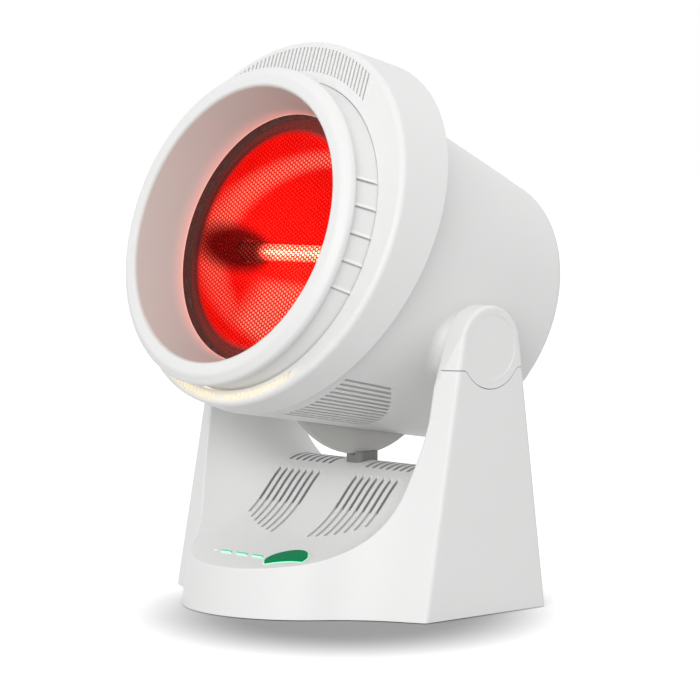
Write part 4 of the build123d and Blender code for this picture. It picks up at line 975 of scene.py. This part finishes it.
@dataclass(frozen=True)
class HotQuartz(Finish):
    """The lamp's quartz tube: hazy, glowing pink along its middle and dark at its ends."""

    half: float
    glow: Colour = rgb(1.0, 0.50, 0.36)
    clear: Colour = rgb(0.90, 0.86, 0.82)
    # the tube's ends: dark and without glow
    end_dark: Colour = rgb(0.03, 0.002, 0.002)
    strength: float = 0.9
    clearness: float = 0.55
    roughness: float = 0.1
    haze_scale: float = 220.0
    haze_detail: float = 3.0
    haze_dim: float = 0.8
    dark_start: float = 0.74
    dark_full: float = 0.96

    def lay(self, graph: Graph, shader: Node) -> None:
        """Feeds the shader with a hazy glow between dark ends.

        Args:
            graph: The material's graph.
            shader: Its Principled node.
        """
        place = graph.place()
        away = graph.math("ABSOLUTE", graph.split(place).outputs["X"])
        middle = graph.step(away, self.dark_full * self.half, self.dark_start * self.half)
        haze = graph.noise(place, self.haze_scale, self.haze_detail)
        hazy = graph.mix(haze, dimmed(self.glow, self.haze_dim), self.glow)
        graph.wire(shader, {
            "Base Color": graph.mix(middle, self.end_dark, self.clear),
            "Emission Color": graph.mix(middle, self.end_dark, hazy),
            "Emission Strength": self.strength,
            "Roughness": self.roughness,
            "Alpha": 1.0 - self.clearness,
        })


@dataclass(frozen=True)
class HotWire(Finish):
    """The heating wire: white hot along its middle, cooler in bands between its turns."""

    half: float
    glow: Colour = rgb(1.0, 0.78, 0.62)
    cool: Colour = rgb(1.0, 0.30, 0.12)
    turn_colour: Colour = rgb(0.55, 0.50, 0.45)
    gap_colour: Colour = rgb(0.35, 0.30, 0.26)
    turns: float = 620.0
    turn_edge: Edge = (0.45, 0.2)
    strength: float = 16.0
    roughness: float = 0.4
    cold_start: float = 0.7
    cold_full: float = 0.92

    def lay(self, graph: Graph, shader: Node) -> None:
        """Feeds the shader with a glow in bands.

        Args:
            graph: The material's graph.
            shader: Its Principled node.
        """
        along = graph.split(graph.place()).outputs["X"]
        wave = graph.math("FRACT", graph.product(along, self.turns))
        turn = graph.step(graph.math("ABSOLUTE", graph.math("SUBTRACT", wave, 0.5)), *self.turn_edge)
        away = graph.math("ABSOLUTE", along)
        middle = graph.step(away, self.cold_full * self.half, self.cold_start * self.half)
        graph.wire(shader, {
            "Base Color": graph.mix(turn, self.gap_colour, self.turn_colour),
            "Emission Color": graph.mix(middle, BLACK, graph.mix(turn, self.cool, self.glow)),
            "Emission Strength": self.strength,
            "Roughness": self.roughness,
        })


SHELL = MouldedPlastic("shell_white", rgb(0.84, 0.84, 0.835))
FIN_GREY = MouldedPlastic("fin_grey", rgb(0.52, 0.515, 0.50), roughness=0.5)
# the guide block: grey plastic drawn much darker than the fin, partly its own grey and partly painted shade
# from the head above it
BLOCK_GREY_AND_SHADE = MouldedPlastic("block_grey_and_shade", rgb(0.20, 0.198, 0.193), roughness=0.5)
DARK = MouldedPlastic("black_plastic", rgb(0.03, 0.03, 0.032), roughness=0.5)
RUBBER = MouldedPlastic(
    "black_rubber", rgb(0.03, 0.03, 0.03), roughness=0.8, grain_scale=900.0, grain_depth=0.00004
)
BUTTON = MouldedPlastic("button_leaf_green", rgb(0.0, 0.245, 0.088), grain_scale=1600.0, specular=0.03)
ACETAL = MouldedPlastic("acetal_bush", rgb(0.75, 0.74, 0.68), roughness=0.45)
CERAMIC = MouldedPlastic(
    "raw_ceramic", rgb(0.78, 0.75, 0.70), roughness=0.7, grain_scale=1200.0, grain_depth=0.00005
)
# the lamp caps: ceramic drawn dark
DARK_CERAMIC = MouldedPlastic(
    "dark_ceramic", rgb(0.16, 0.13, 0.12), roughness=0.8, grain_scale=1200.0, grain_depth=0.00005
)
BOARD = MouldedPlastic("board_green", rgb(0.015, 0.14, 0.05), roughness=0.3, coat=0.5)
RESIN = MouldedPlastic("moulded_resin", rgb(0.04, 0.04, 0.045), roughness=0.45)
ZINC = SheetMetal("zinc_sheet", rgb(0.66, 0.66, 0.68))
MIRROR = SheetMetal("bright_aluminium", rgb(0.93, 0.92, 0.91), roughness=0.12, marks=(90.0, 90.0, 90.0))
GAP_LIGHT = LitPlastic("gap_mint", rgb(0.50, 1.0, 0.74), strength=0.9)


# ---------------------------------------------------------------- pieces
def dress(frame: dict, finishes: dict[Finish, list[str]]) -> None:
    """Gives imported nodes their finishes.

    Args:
        frame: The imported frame.
        finishes: Each finish with the nodes that get it.
    """
    for finish, nodes in finishes.items():
        for node in nodes:
            mesh = frame["nodes"][node].data
            mesh.materials.clear()
            mesh.materials.append(made_of(finish))
            log.info("%s: %s", node, finish.name)


def add_piece(name: str, shape: bmesh.types.BMesh, material: Material, body: Body) -> bpy.types.Object:
    """Turns a finished shape into an object that rides on a body.

    Args:
        name: The piece's name.
        shape: Its faces, in metres; it is freed here.
        material: Its finish.
        body: The body it rides on.

    Returns:
        The new object.
    """
    mesh = bpy.data.meshes.new(name)
    shape.to_mesh(mesh)
    shape.free()
    mesh.materials.append(material)
    piece = bpy.data.objects.new(name, mesh)
    bpy.context.scene.collection.objects.link(piece)
    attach(piece, body.value)
    log.info("%s: %d faces on %s", name, len(mesh.polygons), body.value)
    return piece


def circle_through(start: Vector, through: Vector, end: Vector) -> Vector:
    """The middle of the circle through three points.

    Args:
        start: The first point.
        through: The second point.
        end: The third point.

    Returns:
        The circle's middle.
    """
    first, second = through - start, end - start
    cross = 2.0 * (first.x * second.y - first.y * second.x)
    return start + Vector((
        (second.y * first.length_squared - first.y * second.length_squared) / cross,
        (first.x * second.length_squared - second.x * first.length_squared) / cross,
    ))


def arc_points(start: Vector, through: Vector, end: Vector, count: int) -> list[Vector]:
    """Evenly turned points on the circle through three points, without the last one.

    Args:
        start: Where the arc starts.
        through: A point on its way.
        end: Where it ends.
        count: How many points it gets.

    Returns:
        The points, from the first one on.
    """
    centre = circle_through(start, through, end)
    turns = [math.atan2(*reversed(point - centre)) for point in (start, through, end)]
    sweep = (turns[2] - turns[0]) % math.tau
    if (turns[1] - turns[0]) % math.tau > sweep:
        sweep -= math.tau
    radius = (start - centre).length
    angles = [turns[0] + sweep * number / count for number in range(count)]
    return [centre + radius * Vector((math.cos(angle), math.sin(angle))) for angle in angles]


def leaf_outline() -> list[Vector]:
    """The button's outline round its own middle.

    Returns:
        Its points, in order.
    """
    corner = {name: Vector(spot) for name, spot in LEAF.items()}
    points = arc_points(corner["tip"], corner["far_side"], corner["rear"], ARC_STEPS)
    points += arc_points(corner["rear"], corner["rear_bend"], corner["shoulder"], BEND_STEPS)
    points += [corner["shoulder"]]
    points += arc_points(corner["notch"], corner["near_side"], corner["tip"], ARC_STEPS)
    return points


def grown_outline(points: list[Vector], amount: float) -> list[Vector]:
    """A closed outline moved outwards along its corner directions.

    Args:
        points: The outline's points, in order.
        amount: How far it moves.

    Returns:
        The moved points.
    """
    turning = sum(a.x * b.y - a.y * b.x for a, b in zip(points, points[1:] + points[:1]))
    side = -1.0 if turning > 0 else 1.0
    grown = []
    for number, point in enumerate(points):
        before, after = points[number - 1], points[(number + 1) % len(points)]
        ways = [(point - before).normalized(), (after - point).normalized()]
        outward = sum((Vector((-way.y, way.x)) * side for way in ways), Vector((0.0, 0.0)))
        share = max(MITRE_LIMIT, outward.length_squared / 4.0)
        grown.append(point + outward / 2.0 * amount / share)
    return grown


# ---------------------------------------------------------------- sub-assemblies
@dataclass
class BaseAssembly:
    """The moulded base with its arms, controls and boards.

    The row of timer windows and the ramp's known place are counted from the tilt pivot. The walls of the
    light ring are counted outwards from the button's outline, and its top and foot downwards from the ramp.
    """

    frame: dict
    pivot_y: float
    window_row: float = -0.081
    ramp_place: float = -0.088
    ramp_level: float = 0.02744
    ramp_slope: float = 0.204
    ring_inner: float = 0.00004
    ring_outer: float = 0.00031
    ring_top: float = -0.00005
    ring_foot: float = 0.0011

    def build(self) -> None:
        """Dresses the base's nodes, lays the button's light ring and winds its spring."""
        shell = LitShell("lit_shell", SHELL.colour, pivot_y=self.pivot_y)
        window = TimerWindow(
            "timer_window",
            glow=rgb(0.55, 1.0, 0.79),
            colour=rgb(0.03, 0.10, 0.07),
            row_y=self.pivot_y + self.window_row,
        )
        dress(self.frame, {
            shell: ["base_housing"],
            SHELL: ["left_arm_cap", "right_arm_cap", "base_plate"],
            BLOCK_GREY_AND_SHADE: ["guide_block"],
            RUBBER: ["rubber_feet"],
            ZINC: ["base_screws", "bracket_screws", "left_arm_bracket", "right_arm_bracket", "guide_screw"],
            BOARD: ["control_board", "power_board"],
            RESIN: ["power_parts", "tact_switch"],
            DARK: ["cord_gland"],
            window: ["led_windows"],
            GAP_LIGHT: ["led_lamps"],
            BUTTON: ["power_button"],
            ACETAL: ["pivot_bushes"],
        })
        self.lay_light_ring(made_of(GAP_LIGHT))
        self.wind_spring(made_of(ZINC))

    def ramp_height(self, y: float) -> float:
        """Height of the ramp's front stretch at a place in Y."""
        return self.ramp_level + self.ramp_slope * (y - self.pivot_y - self.ramp_place)

    def lay_light_ring(self, material: Material) -> None:
        """A closed strip in the gap round the button, a hair above the ramp, that carries its light.

        Args:
            material: The strip's finish.
        """
        middle = (BUTTON_PLACE[0], self.pivot_y + BUTTON_PLACE[1])
        inner = grown_outline(leaf_outline(), self.ring_inner)
        outer = grown_outline(leaf_outline(), self.ring_outer)
        top, foot = self.ring_top, self.ring_foot
        shape = bmesh.new()
        loops = []
        for outline, sink in ((inner, top), (outer, top), (outer, foot), (inner, foot)):
            spots = [(middle[0] + x, middle[1] + y) for x, y in outline]
            corners = [shape.verts.new((x, y, self.ramp_height(y) - sink)) for x, y in spots]
            loops.append([shape.edges.new(ends) for ends in zip(corners, corners[1:] + corners[:1])])
        for loop, following in zip(loops, loops[1:] + loops[:1]):
            bmesh.ops.bridge_loops(shape, edges=loop + following)
        bmesh.ops.recalc_face_normals(shape, faces=shape.faces)
        add_piece("button_light_ring", shape, material, Body.BASE)

    def wind_spring(self, material: Material) -> None:
        """The return spring below the button: a copy of its node that rides on the base.

        Args:
            material: The spring's finish.
        """
        shape = bmesh.new()
        shape.from_mesh(self.frame["nodes"]["button_spring"].data)
        coil = add_piece("return_coil", shape, material, Body.BASE)
        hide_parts("button_spring")
        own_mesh(coil)


@dataclass
class HeadAssembly:
    """The tilting head: shells, glass, reflector, lamp and fan."""

    frame: dict
    centre: Vector

    def build(self) -> None:
        """Dresses the head's nodes."""
        middle = tuple(self.centre)
        funnel = FunnelPlastic("funnel_white", SHELL.colour, centre=middle)
        collar = CollarPlastic("collar_white", SHELL.colour, centre=middle)
        barrel = BarrelPlastic("barrel_white", SHELL.colour, centre=middle)
        glass = RedGlass("ceramic_glass", middle)
        low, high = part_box("lamp_tube")
        half = (high.x - low.x) / 2
        quartz = HotQuartz("hot_quartz", half)
        wire = HotWire("glowing_wire", half)
        bowl = HotBowl(
            "hot_bowl", rgb(0.30, 0.05, 0.04), roughness=0.35, marks=MIRROR.marks, centre=middle
        )
        dress(self.frame, {
            barrel: ["barrel_housing"],
            SHELL: ["rear_cover"],
            funnel: ["front_ring"],
            collar: ["collar"],
            glass: ["glass_plate"],
            quartz: ["lamp_tube"],
            wire: ["lamp_element"],
            bowl: ["reflector"],
            MIRROR: ["heat_shield"],
            RUBBER: ["glass_gasket", "friction_washers"],
            ZINC: [
                "retaining_ring", "cover_screws", "fan_screws", "left_pivot_hub", "right_pivot_hub",
                "pivot_rings",
            ],
            DARK_CERAMIC: ["lamp_caps"],
            CERAMIC: ["lamp_holders", "terminal_block"],
            RESIN: ["thermal_cutout", "fan_motor"],
            DARK: ["fan_frame", "fan_rotor"],
            FIN_GREY: ["guide_fin"],
        })


# ---------------------------------------------------------------- studio
@dataclass(frozen=True)
class SoftBox:
    """A square area light that faces a point above the base's middle."""

    name: str
    spot: Place
    edge: float
    watts: float
    aim: Place = (0.0, 0.0, 0.15)

    def build(self) -> None:
        """Hangs the light."""
        data = bpy.data.lights.new(self.name, "AREA")
        data.size = self.edge
        data.energy = self.watts
        light = bpy.data.objects.new(self.name, data)
        light.location = self.spot
        towards = Vector(self.aim) - Vector(self.spot)
        light.rotation_euler = towards.to_track_quat("-Z", "Y").to_euler()
        bpy.context.scene.collection.objects.link(light)


LIGHTS = (
    SoftBox("key_light", (0.58, -1.58, 1.36), edge=1.0, watts=4.0),
    SoftBox("front_light", (1.22, -1.76, 0.60), edge=0.9, watts=13.4),
    SoftBox("rear_light", (0.10, 1.20, 1.90), edge=1.0, watts=3.0),
)


def seen_directly(graph: Graph) -> Socket:
    """1 where a camera, mirror or glass ray sees the surface.

    Args:
        graph: The graph that gets the nodes.

    Returns:
        1 for those rays, 0 for all others.
    """
    path = graph.node("LightPath")
    rays = graph.math("MAXIMUM", path.outputs["Is Camera Ray"], path.outputs["Is Glossy Ray"])
    return graph.math("MAXIMUM", rays, path.outputs["Is Transmission Ray"])


@dataclass(frozen=True)
class FloorFinish(Finish):
    """The floor: pale to look at, with a painted shadow round one place, and of one grey for the light it
    sends back.
    """

    middle: Place
    across: Place
    towards: Place
    colour: Colour = rgb(0.54, 0.54, 0.54)
    open_colour: Colour = rgb(0.95, 0.95, 0.95)
    # painted shadow near the lamp: its grey colour, its small lift, its half sizes and its soft edge
    shadow_colour: Colour = rgb(0.36, 0.36, 0.36)
    open_lift: float = 0.38
    shadow_lift: float = 0.02
    shadow_half: tuple[float, float] = (0.118, 0.158)
    shadow_edge: Edge = (0.45, 1.15)

    def lay(self, graph: Graph, shader: Node) -> None:
        """Feeds the shader with the colours to look at and the one that only light meets.

        Args:
            graph: The material's graph.
            shader: Its Principled node.
        """
        seen = seen_directly(graph)
        local = graph.vector("SUBTRACT", graph.place(), self.middle)
        parts = []
        for way, half in zip((self.across, self.towards), self.shadow_half):
            parts.append(graph.math("DIVIDE", graph.measure("DOT_PRODUCT", local, way), half))
        # painted shadow: near the lamp the floor is drawn grey and gets less lift
        open_floor = graph.step(graph.length(*parts), *self.shadow_edge)
        pale = graph.mix(open_floor, self.shadow_colour, self.open_colour)
        spread = graph.product(open_floor, self.open_lift - self.shadow_lift)
        graph.wire(shader, {
            "Base Color": graph.mix(seen, self.colour, pale),
            "Roughness": 1.0,
            "Specular IOR Level": 0.0,
            "Emission Color": WHITE,
            "Emission Strength": graph.product(seen, graph.math("ADD", spread, self.shadow_lift)),
        })


@dataclass
class Studio:
    """Floor, soft light and camera."""

    pivot_y: float
    floor_size: float = 12.0
    # where the floor's painted shadow is centred, out from the pivot towards the camera
    shadow_middle: float = 0.072
    world_light: float = 0.80
    azimuth: float = math.radians(47.4)
    elevation: float = math.radians(3.95)
    roll: float = math.radians(-0.14)
    distance: float = 1.6511
    aim: tuple[float, float] = (-0.00946, 0.13134)
    focal_px: float = 3066.0
    image_px: float = 700.0
    sensor_mm: float = 36.0

    def build_world(self) -> None:
        """A plain world: white to look at, softer as a light."""
        world = bpy.data.worlds.new("studio_world")
        world.use_nodes = True
        bpy.context.scene.world = world
        graph = Graph(world.node_tree)
        background = next(node for node in world.node_tree.nodes if node.type == "BACKGROUND")
        extra = graph.product(seen_directly(graph), 1.0 - self.world_light)
        graph.wire(background, {"Strength": graph.math("ADD", extra, self.world_light), "Color": WHITE})

    def build_floor(self) -> None:
        """A wide pale floor, with a painted shadow below the lamp and in front of it, on top of the shadow
        that the lights cast there.
        """
        towards = Vector((math.sin(self.azimuth), -math.cos(self.azimuth), 0.0))
        across = Vector((math.cos(self.azimuth), math.sin(self.azimuth), 0.0))
        middle = Vector((self.aim[0], self.pivot_y, 0.0)) + towards * self.shadow_middle
        finish = FloorFinish("floor_white", tuple(middle), tuple(across), tuple(towards))
        shape = bmesh.new()
        bmesh.ops.create_grid(shape, x_segments=1, y_segments=1, size=self.floor_size)
        mesh = bpy.data.meshes.new("floor")
        shape.to_mesh(mesh)
        shape.free()
        mesh.materials.append(finish.build())
        floor = bpy.data.objects.new("floor", mesh)
        bpy.context.scene.collection.objects.link(floor)

    def build_camera(self) -> None:
        """The camera, placed by its angle round the lamp."""
        back = Vector((
            math.sin(self.azimuth) * math.cos(self.elevation),
            -math.cos(self.azimuth) * math.cos(self.elevation),
            math.sin(self.elevation),
        ))
        level = Vector((0.0, 0.0, 1.0)).cross(back).normalized()
        upright = back.cross(level)
        right = level * math.cos(self.roll) + upright * math.sin(self.roll)
        up = upright * math.cos(self.roll) - level * math.sin(self.roll)
        place = Vector((self.aim[0], self.pivot_y, self.aim[1])) + back * self.distance
        data = bpy.data.cameras.new("camera")
        data.sensor_width = self.sensor_mm
        data.lens = self.focal_px / self.image_px * self.sensor_mm
        camera = bpy.data.objects.new("camera", data)
        turned = Matrix((right, up, back)).transposed().to_4x4()
        camera.matrix_world = Matrix.Translation(place) @ turned
        bpy.context.scene.collection.objects.link(camera)
        bpy.context.scene.camera = camera

    def build(self) -> None:
        """Sets up the whole studio."""
        self.build_world()
        self.build_floor()
        for light in LIGHTS:
            light.build()
        self.build_camera()
        bpy.context.scene.view_settings.view_transform = "Standard"


def main() -> None:
    """Builds the lamp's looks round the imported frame."""
    logging.basicConfig(level=logging.INFO, format="%(message)s")
    for name in ("Cube", "Light", "Camera"):
        if name in bpy.data.objects:
            bpy.data.objects.remove(bpy.data.objects[name])
    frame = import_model()
    centre = head_centre(frame)
    pivot_y = centre.y - head_axes()[1].y * AXIS_LIFT
    BaseAssembly(frame, pivot_y).build()
    HeadAssembly(frame, centre).build()
    Studio(pivot_y=pivot_y).build()
    bpy.context.view_layer.update()


if __name__ == "__main__":
    main()
